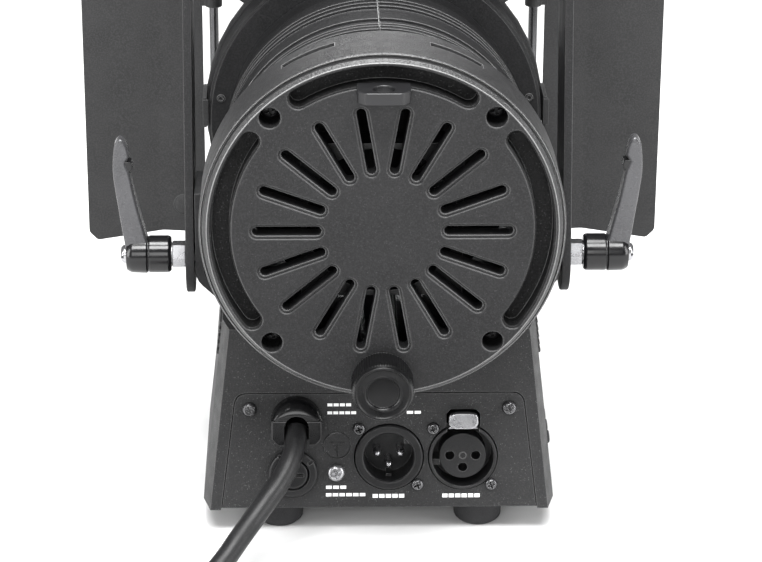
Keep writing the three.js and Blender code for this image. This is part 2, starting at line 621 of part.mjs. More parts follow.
// Outline of the connector panel, grown by an amount on its top and sides.
function panelOutline(grow, bottom) {
  const corner = 3.6;
  const top = PANEL_TOP + grow;
  const shape = new THREE.Shape();
  shape.moveTo(-panelHalf(bottom) - grow, bottom);
  shape.lineTo(panelHalf(bottom) + grow, bottom);
  shape.lineTo(panelHalf(top - corner) + grow, top - corner);
  shape.quadraticCurveTo(panelHalf(top) + grow, top, panelHalf(top) + grow - corner, top);
  shape.lineTo(-panelHalf(top) - grow + corner, top);
  shape.quadraticCurveTo(-panelHalf(top) - grow, top, -panelHalf(top - corner) - grow, top - corner);
  return shape;
}

const buttonPlaces = [-1.5, -0.5, 0.5, 1.5].map((step) => [0, step * BUTTON_PITCH, 10]);

function baseHousing() {
  const outer = loft([BASE_BOTTOM, BASE_TOP].map((z) => [z, baseOutline(z, 0, 0)]));
  const inner = loft([BASE_BOTTOM - 1, CAVITY_TOP].map((z) => (
    [z, baseOutline(z, BASE_WALL, BASE_REAR_WALL)])));
  const pocket = moved(alongY(panelOutline(GAP, PANEL_BOTTOM - 3), -PANEL_THICK - GAP, 3), panel.matrix);
  const windowCut = moved(box(-39.4, 39.4, -8, 3, -22.5, 10), panel.matrix);
  const screws = [-1, 1].map((side) => moved(
    bar('y', 1.6, -8, 3, [side * PANEL_SCREW_X, 0, PANEL_SCREW_Z], 8), panel.matrix));
  const display = moved(box(-1.6, 3, -16.4, 16.4, -12.4, 2.4), controls.matrix);
  const buttons = buttonPlaces.map((at) => moved(bar('x', BUTTON_R + GAP, -6, 3, at, 12), controls.matrix));
  const saddle = bar('y', SADDLE_R, -120, -20, [0, 0, 0], 60);
  const frontRingRoom = bar('y', FRAME_R + GAP, -130, RING_FROM + GAP, [0, 0, 0], 60);
  const spindleChannel = box(-6, 6, -120, -20, ZOOM_Z - 5, 0);
  return cut(outer, inner, saddle, frontRingRoom, spindleChannel, pocket, windowCut,
    ...screws, display, ...buttons);
}

place(head, 'base_housing', baseHousing(), powderCoat);

const plateInset = BASE_WALL + GAP;
const plateOutline = baseOutline(BASE_BOTTOM, plateInset, BASE_REAR_WALL + 2 * GAP);
place(head, 'bottom_plate', alongZ(outline(plateOutline), BASE_BOTTOM, BASE_BOTTOM + 1.5), sheetBlack);

const footPlaces = [['front_left', 1, FOOT_FRONT_Y], ['front_right', -1, FOOT_FRONT_Y],
  ['rear_left', 1, FOOT_REAR_Y], ['rear_right', -1, FOOT_REAR_Y]];
for (const [name, side, y] of footPlaces) {
  const top = BASE_BOTTOM - GAP;
  const foot = turned('z', [[0, -HEAD_AXIS_Z], [FOOT_R - 1.5, -HEAD_AXIS_Z], [FOOT_R, -HEAD_AXIS_Z + 1.5],
    [FOOT_R, top], [0, top]], [side * FOOT_X, y, 0], 20);
  place(head, `foot_${name}`, foot, rubber);
}

// Circuit board with its transformer, two capacitors and a choke.
function powerBoard() {
  const z = -104;
  return join(box(-42, 42, -99, -50, z, z + 1.6), box(-12, 12, -82, -62, z + 1, z + 17),
    bar('z', 6, z + 1, z + 20, [25, -70, 0], 14), bar('z', 4, z + 1, z + 14, [-26, -66, 0], 12),
    box(-36, -20, -90, -78, z + 1, z + 11));
}

place(head, 'power_board', powerBoard(), boardGreen);

// ---------------------------------------------------------------- connector panel and what it carries

function rearPanel() {
  const plate = alongY(panelOutline(0, PANEL_BOTTOM), -PANEL_THICK, 0);
  const hole = (radius, x, z, sides = 12) => bar('y', radius, -3, 3, [x, 0, z], sides);
  return cut(plate, hole(XLR_R + GAP, DMX_IN_X, XLR_Z, 28), hole(XLR_R + GAP, DMX_OUT_X, XLR_Z, 28),
    box(DMX_OUT_X - 5.4, DMX_OUT_X + 5.4, -3, 3, XLR_Z + 9.6, XLR_Z + 16.1),
    hole(1.7, PANEL_SCREW_X, PANEL_SCREW_Z, 8), hole(1.7, -PANEL_SCREW_X, PANEL_SCREW_Z, 8),
    hole(1.9, EARTH_X, EARTH_Z, 8), hole(6.3, FUSE_X, FUSE_Z, 20), hole(5.2, GLAND_X, GLAND_Z, 16));
}

place(panel, 'rear_panel', rearPanel(), powderCoat);

function screw(headR, headFrom, headTo, shankR, depth, at) {
  return join(bar('y', headR, headFrom, headTo, at, 14), bar('y', shankR, -depth, headFrom + 0.2, at, 8));
}

for (const [side, name] of [[1, 'left'], [-1, 'right']]) {
  const whole = screw(2.4, GAP, 1.5, 1.25, 4.5, [side * PANEL_SCREW_X, 0, PANEL_SCREW_Z]);
  place(panel, `panel_screw_${name}`, whole, blackScrew);
}
place(panel, 'earth_screw', screw(3, GAP, 1.9, 1.5, 7, [EARTH_X, 0, EARTH_Z]), zinc);

// Inlet with three pins in a round cavity.
function dmxInSocket() {
  const at = [DMX_IN_X, 0, XLR_Z];
  const pins = [[3.8, 0.4], [-3.8, 0.4], [0, -3.4]].map(([x, z]) => (
    bar('y', 1.25, -9.5, -1.5, [DMX_IN_X + x, 0, XLR_Z + z], 10)));
  return join(cut(bar('y', XLR_R, -XLR_DEPTH, 0.8, at, 28), bar('y', 8.1, -9, 2, at, 24)), ...pins);
}

// Outlet with a round insert in a groove, three blind holes and a notch for its latch.
function dmxOutSocket() {
  const at = [DMX_OUT_X, 0, XLR_Z];
  const shell = cut(bar('y', XLR_R, -XLR_DEPTH, 0.8, at, 28), bar('y', 9.8, -8, 2, at, 24));
  const holes = [[4.2, 0.2], [-4.2, 0.2], [0, -3.8]].map(([x, z]) => (
    bar('y', 1.5, -6, 2, [DMX_OUT_X + x, 0, XLR_Z + z], 10)));
  const insert = cut(bar('y', 7.7, -9, -0.5, at, 24), ...holes);
  return cut(join(shell, insert), box(DMX_OUT_X - 5.4, DMX_OUT_X + 5.4, -4.6, 3, XLR_Z + 9.6, XLR_Z + 16));
}

place(panel, 'dmx_in_socket', dmxInSocket(), glossNylon);
place(panel, 'dmx_out_socket', dmxOutSocket(), glossNylon);
const latchOutline = outline(chamfered(DMX_OUT_X - 5, DMX_OUT_X + 5, -3, 3, 0.8));
place(panel, 'dmx_latch', alongZ(latchOutline, XLR_Z + 10, XLR_Z + 15.8), zinc);

const fuseAt = [FUSE_X, 0, FUSE_Z];
const fuseBody = join(bar('y', 8.1, GAP, 1.8, fuseAt, 28), bar('y', 5.9, -17, GAP + 0.2, fuseAt, 20));
place(panel, 'fuse_holder', cut(fuseBody, bar('y', 5.15, -15, 3, fuseAt, 20)), glossNylon);
const fuseSlot = box(FUSE_X - 3.6, FUSE_X + 3.6, 1.2, 3, FUSE_Z - 0.7, FUSE_Z + 0.7);
place(panel, 'fuse_cap', cut(bar('y', 4.85, -14.5, 2.2, fuseAt, 20), fuseSlot), glossNylon);

// Right-angle strain relief: a hooded D with a throat that is open to the front and below.
function cableGland() {
  const shape = new THREE.Shape();
  shape.absarc(GLAND_X, GLAND_Z, GLAND_R, 0, Math.PI, false);
  shape.lineTo(GLAND_X - GLAND_R, 1.5);
  shape.lineTo(GLAND_X - 5, -2.5);
  shape.lineTo(GLAND_X + 5, -2.5);
  shape.lineTo(GLAND_X + GLAND_R, 1.5);
  const hood = alongX(outline([[2.5, GLAND_Z + GLAND_R], [GLAND_DEPTH, 8.4], [GLAND_DEPTH + 3, 8.4],
    [GLAND_DEPTH + 3, 16], [2.5, 16]]), GLAND_X - 12, GLAND_X + 12);
  const throat = new THREE.Shape();
  throat.absarc(GLAND_X, 3.5, CORD_R + 0.5, 0, Math.PI, false);
  throat.lineTo(GLAND_X - CORD_R - 0.5, -6);
  throat.lineTo(GLAND_X + CORD_R + 0.5, -6);
  const body = cut(alongY(shape, GAP, GLAND_DEPTH, 10), hood, alongY(throat, 1.6, GLAND_DEPTH + 4, 8));
  return join(body, bar('y', 4.9, -8, GAP + 0.3, [GLAND_X, 0, GLAND_Z], 16));
}

place(panel, 'cable_gland', cableGland(), glossNylon);

// ---------------------------------------------------------------- display and buttons

place(controls, 'control_window', box(-1.3, 0.1, -16, 16, -12, 2), glossNylon);
buttonPlaces.forEach((at, i) => {
  place(controls, `button_${i + 1}`, bar('x', BUTTON_R, -3.6, 1.3, at, 12), rubber);
});

// ---------------------------------------------------------------- power cord, its coil and its plug

// From the strain relief down to the floor and round to the coil.
const cordRoute = [[26.8, 51, 38.6], [27.2, 56, 35.3], [28.9, 61.3, 31.6], [31.8, 66.3, 27.6],
  [36.2, 71.8, 23.3], [40.7, 77.1, 19], [45.2, 82.3, 14.6], [50, 87.8, 9.8], [55, 93.2, 6.4],
  [60.4, 98.6, 4.4], [65.8, 104.2, 3.7], [70.8, 110.3, 3.6], [74.8, 117, 3.6], [77.4, 124, 3.6],
  [78.5, 130.4, 3.6]];

// From the coil to the plug, lifting off the floor at its end.
const tailRoute = [[1.9, 206.7, 3.6], [-3.3, 203.7, 3.6], [-6.8, 201.7, 3.9], [-10.3, 199.6, 4.7],
  [-13.7, 197.7, 5.95]];

function tube(route, steps) {
  const section = new THREE.Shape();
  section.absarc(0, 0, CORD_R, 0, 2 * Math.PI, false);
  const extrudePath = new THREE.CatmullRomCurve3(route.map((point) => new THREE.Vector3(...point)));
  const settings = { steps, extrudePath, curveSegments: 4, bevelEnabled: false };
  return solid(new THREE.ExtrudeGeometry(section, settings));
}

// Moulded earthed plug, its flexible relief at the origin and its pins towards +X.
function plug() {
  const profile = [[0, 0], [4.6, 0], [6.2, 21], [7.5, 22], [14, 30], [PLUG_R, 31], [PLUG_R, 49], [0, 49]];
  const body = turned('x', profile, [0, 0, 0], 24);
  const clips = [-1, 1].map((side) => (
    box(36, 50, -2.6, 2.6, side > 0 ? PLUG_R - 1.6 : -PLUG_R - 1, side > 0 ? PLUG_R + 1 : -PLUG_R + 1.6)));
  const pins = [-9.5, 9.5].map((y) => bar('x', 2.4, 48.5, 68, [0, y, 0], 12));
  return join(cut(body, ...clips), ...pins);
}

place(lamp, 'power_cord', tube(cordRoute, 30), rubber);
const coilProfile = [[COIL_IN_R, 0], [COIL_OUT_R, 0], [COIL_OUT_R, COIL_HEIGHT], [COIL_IN_R, COIL_HEIGHT]];
place(lamp, 'cord_coil', turned('z', coilProfile, [...COIL_CENTRE, 0], 32), rubber);
place(lamp, 'cord_tail', tube(tailRoute, 5), rubber);
const plugTurn = group(lamp, PLUG_ENTRY, [0, 0, PLUG_HEADING]);
const plugLift = group(plugTurn, [0, 0, 0], [0, -PLUG_RISE, 0]);
place(plugLift, 'mains_plug', plug(), rubber);

export default lamp;
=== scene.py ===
"""The looks of a compact LED theatre spotlight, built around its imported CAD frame.

Lengths are millimetres in a local frame, such as the head's or the connector panel's, and each piece is
turned into metres in the row frame as it is made. "Left" is +X. The lens faces -Y, the connectors +Y.
"""

from math import asin, atan2, cos, hypot, pi, sin, tan

import bmesh
import bpy
from mathutils import Matrix, Vector
from mathutils.geometry import delaunay_2d_cdt


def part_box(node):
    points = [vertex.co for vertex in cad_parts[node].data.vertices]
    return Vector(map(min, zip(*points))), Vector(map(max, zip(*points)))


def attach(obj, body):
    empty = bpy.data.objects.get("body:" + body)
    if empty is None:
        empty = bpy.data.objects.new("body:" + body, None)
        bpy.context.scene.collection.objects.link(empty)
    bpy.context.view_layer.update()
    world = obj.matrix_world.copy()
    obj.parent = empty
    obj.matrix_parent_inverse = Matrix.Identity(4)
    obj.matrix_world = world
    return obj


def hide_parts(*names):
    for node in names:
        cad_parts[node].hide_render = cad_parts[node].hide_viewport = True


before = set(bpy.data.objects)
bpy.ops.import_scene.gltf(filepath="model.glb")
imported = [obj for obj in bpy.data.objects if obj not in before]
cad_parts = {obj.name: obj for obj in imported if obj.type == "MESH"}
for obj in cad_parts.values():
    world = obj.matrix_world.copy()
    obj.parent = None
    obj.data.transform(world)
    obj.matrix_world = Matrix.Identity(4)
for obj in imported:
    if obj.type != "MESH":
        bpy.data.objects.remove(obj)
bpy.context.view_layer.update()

MM = 0.001
DEG = pi / 180

# ---- places taken from the frame

ring_low, ring_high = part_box("front_ring")
shell_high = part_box("shell_left")[1]
SHELL_FROM = -18.6
CAP_FACE_Y = shell_high.y / MM - SHELL_FROM
HEAD_AXIS_Z = (ring_low.z + ring_high.z) / 2 / MM

CAP_R = 56.2
PIVOT_Y = -62
PIVOT_Z = -31.5
YOKE_LEAN = 12 * DEG
BASE_BOTTOM = -107
BASE_TOP = -46
BASE_HALF = (57.5, 50.6)            # half width at the bottom and at the top
BASE_REAR = (-25.5, -32.35)
BASE_FRONT = (-107, -101)
PANEL_SLOPE = atan2(BASE_REAR[0] - BASE_REAR[1], BASE_TOP - BASE_BOTTOM)
PANEL_Z = -80.3
PANEL_Y = BASE_REAR[0] - (PANEL_Z - BASE_BOTTOM) * tan(PANEL_SLOPE)
SIDE_SLOPE = atan2(BASE_HALF[0] - BASE_HALF[1], BASE_TOP - BASE_BOTTOM)
DMX_IN = (-3.1, -8.9)
DMX_OUT = (-27.1, -8.9)
XLR_R = 11.1
FUSE = (28.1, -14.2)
EARTH = (14.1, -14)
GLAND = (26.8, 4)
SIDE_PIN = (54.5, -129)
WIDE_PIN = (56, -123)
SIDE_OPEN = 82 * DEG
TOP_OPEN = 50 * DEG
BOTTOM_OPEN = 25.3 * DEG
ZOOM_Z = -49.2
CONTROL_Y, CONTROL_Z = -66, -84
STUD_HOLE_R = 3.3
SIDES = ((1, "left"), (-1, "right"))


def place(x, y, z, turn=None):
    """The matrix from a local frame in millimetres to the row frame in metres."""
    return Matrix.Scale(MM, 4) @ Matrix.Translation((x, y, z)) @ (turn or Matrix.Identity(4))


def shift(x, y, z):
    return Matrix.Translation((x, y, z))


def turned(angle, axis):
    return Matrix.Rotation(angle, 4, axis)


HEAD = place(0, CAP_FACE_Y, HEAD_AXIS_Z)
PANEL_LOCAL = shift(0, PANEL_Y, PANEL_Z) @ turned(PANEL_SLOPE, "X")
PANEL = HEAD @ PANEL_LOCAL
YOKE = HEAD @ shift(0, PIVOT_Y, PIVOT_Z) @ turned(YOKE_LEAN, "X")
LEVER = HEAD @ shift(0, PIVOT_Y, PIVOT_Z)
ZOOM = HEAD @ shift(0, 0, ZOOM_Z)
CONTROL_HALF = BASE_HALF[0] - (CONTROL_Z - BASE_BOTTOM) * tan(SIDE_SLOPE)
CONTROL_LOCAL = shift(-CONTROL_HALF, CONTROL_Y, CONTROL_Z) @ turned(pi + SIDE_SLOPE, "Y")
CONTROLS = HEAD @ CONTROL_LOCAL
MIRROR = Matrix.Scale(-1, 4, (1, 0, 0))


def put(name, data):
    """A new object in the scene."""
    made = bpy.data.objects.new(name, data)
    bpy.context.scene.collection.objects.link(made)
    return made


def facing(at, aim):
    """The matrix of a camera or a light that looks from one place at another."""
    look = (Vector(aim) - Vector(at)).to_track_quat("-Z", "Y").to_matrix().to_4x4()
    return Matrix.Translation(at) @ look


# ---- camera

CAMERA_AIM = Vector((0.52, 75.8, 99.83)) * MM
CAMERA_AT = Vector((22.7, 898.5, 436.5)) * MM
CAMERA_ROLL = 0.005
camera_data = bpy.data.cameras.new("camera")
camera_data.sensor_width = 36
camera_data.lens = 137.15
camera_data.clip_start = 0.05
camera = put("camera", camera_data)
camera.matrix_world = facing(CAMERA_AT, CAMERA_AIM) @ turned(CAMERA_ROLL, "Z")
bpy.context.scene.camera = camera

# ---- materials

MOTTLE_MM = 14
GLOSS_PATCH_MM = 5
FLECK_MM = 0.26


def add_node(material, kind, **settings):
    node = material.node_tree.nodes.new(kind)
    for name, value in settings.items():
        if hasattr(node, name):
            setattr(node, name, value)
        else:
            node.inputs[name.replace("_", " ")].default_value = value
    return node


def texture(material, kind, size_mm, **settings):
    """A texture whose blotches are about that many millimetres across."""
    node = add_node(material, kind, Scale=1 / (size_mm * MM), **settings)
    coords = add_node(material, "ShaderNodeTexCoord")
    material.node_tree.links.new(coords.outputs["Object"], node.inputs["Vector"])
    return node


def noise(material, size_mm, detail):
    return texture(material, "ShaderNodeTexNoise", size_mm, Detail=detail)


def ramp(material, source, low, high, low_colour, high_colour):
    """Colours between two levels of a value."""
    node = add_node(material, "ShaderNodeValToRGB")
    node.color_ramp.elements[0].position = low
    node.color_ramp.elements[1].position = high
    node.color_ramp.elements[0].color = (*low_colour, 1)
    node.color_ramp.elements[1].color = (*high_colour, 1)
    material.node_tree.links.new(source, node.inputs["Fac"])
    return node.outputs["Color"]


def mix(material, factor, first, second):
    """A colour socket mixed with a plain colour."""
    node = add_node(material, "ShaderNodeMix", data_type="RGBA")
    links = material.node_tree.links
    links.new(factor, node.inputs["Factor"])
    links.new(first, node.inputs[6])
    node.inputs[7].default_value = (*second, 1)
    return node.outputs[2]


def edge_highlight_mask(material, width_mm):
    """Where the painted highlight goes: 1 on sharp edges and 0 away from them."""
    links = material.node_tree.links
    rounded = add_node(material, "ShaderNodeBevel", samples=4)
    rounded.inputs["Radius"].default_value = width_mm * MM
    flat = add_node(material, "ShaderNodeNewGeometry")
    dot = add_node(material, "ShaderNodeVectorMath", operation="DOT_PRODUCT")
    links.new(rounded.outputs["Normal"], dot.inputs[0])
    links.new(flat.outputs["Normal"], dot.inputs[1])
    return ramp(material, dot.outputs["Value"], 0.88, 0.99, (1, 1, 1), (0, 0, 0))


def paint(name, colour, roughness, metal=0.0, mottle=0.12, grain=0.0, grain_mm=0.35, sparkle=0.0,
          edge=0.0, edge_highlight_mm=0.35, coat=0.0, specular=0.5):
    """A procedural finish: mottled colour and roughness, a fine grain, bright flecks and a painted highlight
    along sharp edges.
    """
    material = bpy.data.materials.new(name)
    material.use_nodes = True
    links = material.node_tree.links
    shader = material.node_tree.nodes["Principled BSDF"]
    shader.inputs["Metallic"].default_value = metal
    shader.inputs["Specular IOR Level"].default_value = specular
    shader.inputs["Coat Weight"].default_value = coat
    shader.inputs["Coat Roughness"].default_value = 0.15
    broad = noise(material, MOTTLE_MM, 3)
    darker = tuple(c * (1 - mottle) for c in colour)
    lighter = tuple(min(1, c * (1 + mottle)) for c in colour)
    tone = ramp(material, broad.outputs["Fac"], 0.35, 0.65, darker, lighter)
    if grain:
        fine = noise(material, grain_mm, 1)
        speck = ramp(material, fine.outputs["Fac"], 0.4, 0.72, (0, 0, 0), (1, 1, 1))
        tone = mix(material, speck, tone, tuple(min(1, c * 1.35 + 0.004) for c in colour))
        bump = add_node(material, "ShaderNodeBump", Strength=grain)
        bump.inputs["Distance"].default_value = grain_mm * MM * 0.5
        links.new(fine.outputs["Fac"], bump.inputs["Height"])
        links.new(bump.outputs["Normal"], shader.inputs["Normal"])
    if sparkle:
        cells = texture(material, "ShaderNodeTexVoronoi", FLECK_MM)
        fleck = ramp(material, cells.outputs["Color"], 0.86, 0.93, (0, 0, 0), (sparkle,) * 3)
        tone = mix(material, fleck, tone, (0.45, 0.45, 0.46))
    # The edge value lifts the colour along sharp edges toward a lighter grey: a painted highlight.
    if edge:
        mask = edge_highlight_mask(material, edge_highlight_mm)
        tone = mix(material, mask, tone, tuple(c + (edge - c) * 0.6 for c in colour))
    links.new(tone, shader.inputs["Base Color"])
    uneven = noise(material, GLOSS_PATCH_MM, 3)
    rough = ramp(material, uneven.outputs["Fac"], 0.3, 0.7,
                 (max(0.02, roughness - 0.05),) * 3, (min(1, roughness + 0.06),) * 3)
    links.new(rough, shader.inputs["Roughness"])
    return material


def clear_glass(name, tint, roughness):
    material = paint(name, tint, roughness, mottle=0.01)
    shader = material.node_tree.nodes["Principled BSDF"]
    shader.inputs["Transmission Weight"].default_value = 1.0
    shader.inputs["IOR"].default_value = 1.5
    return material


# Each edge value below sets a painted highlight along the material's sharp edges.
CAST = paint("cast_satin", (0.011, 0.011, 0.0115), 0.45, grain=0.4, grain_mm=0.5, sparkle=0.06, edge=0.3,
             edge_highlight_mm=0.5, specular=0.22)
CAST_RIM = paint("cast_rim", (0.013, 0.013, 0.0135), 0.42, grain=0.7, grain_mm=0.6, sparkle=0.08, edge=0.4,
                 edge_highlight_mm=0.4, specular=0.55)
RING_COAT = paint("ring_coat", (0.009, 0.009, 0.0095), 0.5, grain=0.2, grain_mm=0.5, edge=0.3, edge_highlight_mm=0.3,
                  specular=0.2)
# A darker copy of the cast paint with a coarser grain, for the recessed troughs: painted shade in the
# recesses.
CAST_GRAIN_SHADED = paint("cast_grain_shaded", (0.005, 0.005, 0.0052), 0.6, grain=0.8, grain_mm=0.7, sparkle=0.1,
                   edge=0.25, specular=0.18)
FIN = paint("fin_satin", (0.01, 0.01, 0.0105), 0.5, grain=0.35, grain_mm=0.6, edge=0.36, edge_highlight_mm=0.3,
            specular=0.22)
POWDER = paint("powder_coat", (0.016, 0.016, 0.0165), 0.55, grain=0.6, grain_mm=0.45, sparkle=0.14,
               edge=0.16, specular=0.25)
SHEET = paint("sheet_matte", (0.02, 0.02, 0.0205), 0.62, grain=0.05, grain_mm=0.5, edge=0.1, specular=0.25)
YOKE_COAT = paint("yoke_coat", (0.009, 0.009, 0.0095), 0.55, grain=0.3, grain_mm=0.5, sparkle=0.05,
                  edge=0.12, specular=0.22)
GLOSS = paint("gloss_nylon", (0.004, 0.004, 0.0045), 0.2, mottle=0.2, edge=0.04, specular=0.38)
SATIN_NYLON = paint("satin_nylon", (0.007, 0.007, 0.0075), 0.34, grain=0.15, grain_mm=0.4, edge=0.2,
                    specular=0.3)
KNOB_BLACK = paint("knob_black", (0.004, 0.004, 0.0043), 0.3, mottle=0.2, edge=0.14, edge_highlight_mm=0.25,
                   specular=0.22)
BLACK_STEEL = paint("black_steel", (0.09, 0.09, 0.093), 0.22, metal=0.8, edge=0.6, edge_highlight_mm=0.2)
ZINC = paint("zinc_plate", (0.33, 0.33, 0.34), 0.27, metal=0.95, mottle=0.08, grain=0.1, grain_mm=0.3)
LEVER_COAT = paint("lever_coat", (0.06, 0.06, 0.063), 0.27, metal=0.4, grain=0.08, grain_mm=0.4, edge=0.5)
RUBBER = paint("foot_rubber", (0.018, 0.018, 0.019), 0.7, grain=0.3, grain_mm=0.3, specular=0.3)
SHEATH = paint("cord_sheath", (0.008, 0.008, 0.0085), 0.42, grain=0.06, grain_mm=0.6, specular=0.28)
PRINT = paint("white_print", (0.86, 0.86, 0.86), 0.5, mottle=0.03)
ALUMINIUM = paint("aluminium", (0.62, 0.63, 0.65), 0.35, metal=0.9, mottle=0.06, grain=0.1, grain_mm=0.3)
# Also a painted shade: it darkens the cap screws in their wells and the LED carriage inside the lamp.
BLACK_ANODISED_AND_SHADE = paint("black_anodised_and_shade", (0.012, 0.012, 0.013), 0.4, metal=0.2, edge=0.1)
BOARD = paint("solder_mask", (0.03, 0.16, 0.07), 0.4, mottle=0.2, grain=0.15, grain_mm=0.8)
PHOSPHOR = paint("phosphor", (0.8, 0.66, 0.16), 0.5, mottle=0.06, grain=0.2, grain_mm=0.5)
SCREEN = paint("display_glass", (0.01, 0.014, 0.02), 0.08, mottle=0.3, coat=0.6)
LENS = clear_glass("lens_glass", (0.96, 0.98, 0.98), 0.02)
DOME = clear_glass("silicone_dome", (0.98, 0.97, 0.92), 0.08)

# ---- shaping helpers


def soft(points, radius, closed=True, steps=3):
    """The points with each corner rounded. A point may state its own radius as its third value."""
    out = []
    count = len(points)
    for i, point in enumerate(points):
        here = Vector(point[:2])
        if not closed and i in (0, count - 1):
            out.append(tuple(here))
            continue
        before = Vector(points[i - 1][:2])
        after = Vector(points[(i + 1) % count][:2])
        reach = point[2] if len(point) > 2 else radius
        if reach < 0.05:
            out.append(tuple(here))
            continue
        reach = min(reach, (before - here).length * 0.45, (after - here).length * 0.45)
        start = here + (before - here).normalized() * reach
        end = here + (after - here).normalized() * reach
        for step in range(steps + 1):
            t = step / steps
            out.append(tuple(start * (1 - t) ** 2 + here * 2 * t * (1 - t) + end * t * t))
    return out


def oriented(axis, a, b, c):
    """A point with a and b across an axis and c along it."""
    if axis == "x":
        return (c, a, b)
    if axis == "y":
        return (a, c, b)
    return (a, b, c)


def settled(bm):
    """The shape with its faces turned outward."""
    bmesh.ops.recalc_face_normals(bm, faces=bm.faces)
    return bm


def skin(bm, rings, ends=True):
    """Faces from each ring of vertices to the next, and over the first and last ring."""
    for first, second in zip(rings, rings[1:]):
        for i in range(len(first)):
            j = (i + 1) % len(first)
            bm.faces.new((first[i], first[j], second[j], second[i]))
    if ends:
        bm.faces.new(rings[0])
        bm.faces.new(rings[-1])
    return bm


def lathe(profile, axis="y", at=(0, 0, 0), steps=96, arc=None):
    """A turned skin from pairs of radius and place along the axis. Off the axis it closes on itself."""
    bm = bmesh.new()
    start, end = arc or (0, 2 * pi)
    count = steps if arc is None else steps + 1
    offset = Vector(at)
    rings = []
    for radius, along in profile:
        if radius < 1e-6:
            rings.append([bm.verts.new(Vector(oriented(axis, 0, 0, along)) + offset)])
            continue
        ring = []
        for i in range(count):
            angle = start + (end - start) * i / steps
            spot = oriented(axis, radius * cos(angle), radius * sin(angle), along)
            ring.append(bm.verts.new(Vector(spot) + offset))
        rings.append(ring)
    pairs = list(zip(rings, rings[1:]))
    if profile[0][0] > 1e-6 and profile[-1][0] > 1e-6:
        pairs.append((rings[-1], rings[0]))
    for first, second in pairs:
        for i in range(steps):
            j = (i + 1) % count
            corners = [ring[k % len(ring)] for ring, k in ((first, i), (first, j), (second, j), (second, i))]
            corners = list(dict.fromkeys(corners))
            if len(corners) > 2:
                bm.faces.new(corners)
    if arc is not None:
        bm.faces.new([ring[0] for ring in rings])
        bm.faces.new([ring[-1] for ring in rings])
    return settled(bm)


def spun(points, radius, **settings):
    """A turned skin from an open profile whose corners are rounded."""
    return lathe(soft(points, radius, closed=False), **settings)


def outward(loop):
    """The outward direction at each point of a loop, long enough to keep its sides parallel."""
    result = []
    for i, point in enumerate(loop):
        here = Vector(point)
        into = (here - Vector(loop[i - 1])).normalized()
        away = (Vector(loop[(i + 1) % len(loop)]) - here).normalized()
        normal = Vector((into.y, -into.x)) + Vector((away.y, -away.x))
        normal.normalize()
        result.append(normal / max(0.5, normal.dot(Vector((into.y, -into.x)))))
    return result


def area(loop):
    return sum(a[0] * b[1] - b[0] * a[1] for a, b in zip(loop, loop[1:] + loop[:1])) / 2


def inside(spot, loop):
    """Whether a point lies within a loop."""
    result = False
    for a, b in zip(loop, loop[1:] + loop[:1]):
        if (a[1] > spot[1]) != (b[1] > spot[1]):
            if spot[0] < a[0] + (b[0] - a[0]) * (spot[1] - a[1]) / (b[1] - a[1]):
                result = not result
    return result


def plate(loops, low, high, bevel=0.3, axis="y", steps=2, hole_bevel=None):
    """A flat piece with rounded edges. The first loop is its outline, and the others are holes."""
    bm = bmesh.new()
    ends = ([], [])
    spots = ([], [])
    for number, loop in enumerate(loops):
        loop = list(loop)
        if (area(loop) > 0) != (number == 0):
            loop.reverse()
        reach = bevel if number == 0 or hole_bevel is None else hole_bevel
        normals = outward(loop)
        levels = []
        for step in range(steps + 1):
            angle = pi / 2 * step / steps
            levels.append((reach * (1 - sin(angle)), low + reach * (1 - cos(angle))))
        levels += [(inset, low + high - height) for inset, height in reversed(levels)]
        rings = []
        for inset, height in levels:
            rings.append([bm.verts.new(oriented(axis, p[0] - n.x * inset, p[1] - n.y * inset, height))
                          for p, n in zip(loop, normals)])
        skin(bm, rings, ends=False)
        for k, inset, ring in ((0, levels[0][0], rings[0]), (1, levels[-1][0], rings[-1])):
            spots[k].append([Vector(p) - n * inset for p, n in zip(loop, normals)])
            ends[k].append(ring)
    for loops_here, rings_here, height in zip(spots, ends, (low, high)):
        flat = [spot for loop in loops_here for spot in loop]
        verts = [vert for ring in rings_here for vert in ring]
        edges = []
        for loop in loops_here:
            start = len(edges)
            edges += [(start + i, start + (i + 1) % len(loop)) for i in range(len(loop))]
        places, _, triangles, origins, _, _ = delaunay_2d_cdt(flat, edges, [], 2, 1e-6)
        corners = [verts[found[0]] if found else bm.verts.new(oriented(axis, *spot, height))
                   for spot, found in zip(places, origins)]
        for triangle in triangles:
            middle = sum((places[i] for i in triangle), Vector((0, 0))) / 3
            if not any(inside(middle, loop) for loop in loops_here[1:]):
                bm.faces.new([corners[i] for i in triangle])
    return settled(bm)


def round_loop(x, z, radius, count=40):
    return [(x + radius * cos(2 * pi * i / count), z + radius * sin(2 * pi * i / count))
            for i in range(count)]


def box_loop(x0, x1, z0, z1, radius=0.0):
    corners = [(x0, z0), (x1, z0), (x1, z1), (x0, z1)]
    return soft(corners, radius) if radius else corners


def slot_loop(inner, outer, width, angle):
    """A straight slot with round ends, from one radius to another, at an angle from upright."""
    half = width / 2
    points = []
    for centre, turn in ((outer - half, 0), (inner + half, pi)):
        for i in range(9):
            a = turn + pi * i / 8
            points.append((half * cos(a), centre + half * sin(a)))
    c, s = cos(angle), sin(angle)
    return [(x * c + z * s, z * c - x * s) for x, z in points]


def arc_loop(middle, half, inner, outer):
    """A slot with round ends that is bent round the axis."""
    points = []
    mid, end = (inner + outer) / 2, (outer - inner) / 2
    for side, radius in ((1, outer), (-1, inner)):
        for i in range(25):
            a = middle - side * (half - 2 * half * i / 24)
            points.append((radius * cos(a), radius * sin(a)))
        tip = middle + side * half
        for i in range(1, 8):
            a = tip + (0 if side > 0 else pi) + pi * i / 8
            points.append((mid * cos(tip) + end * cos(a), mid * sin(tip) + end * sin(a)))
    return points


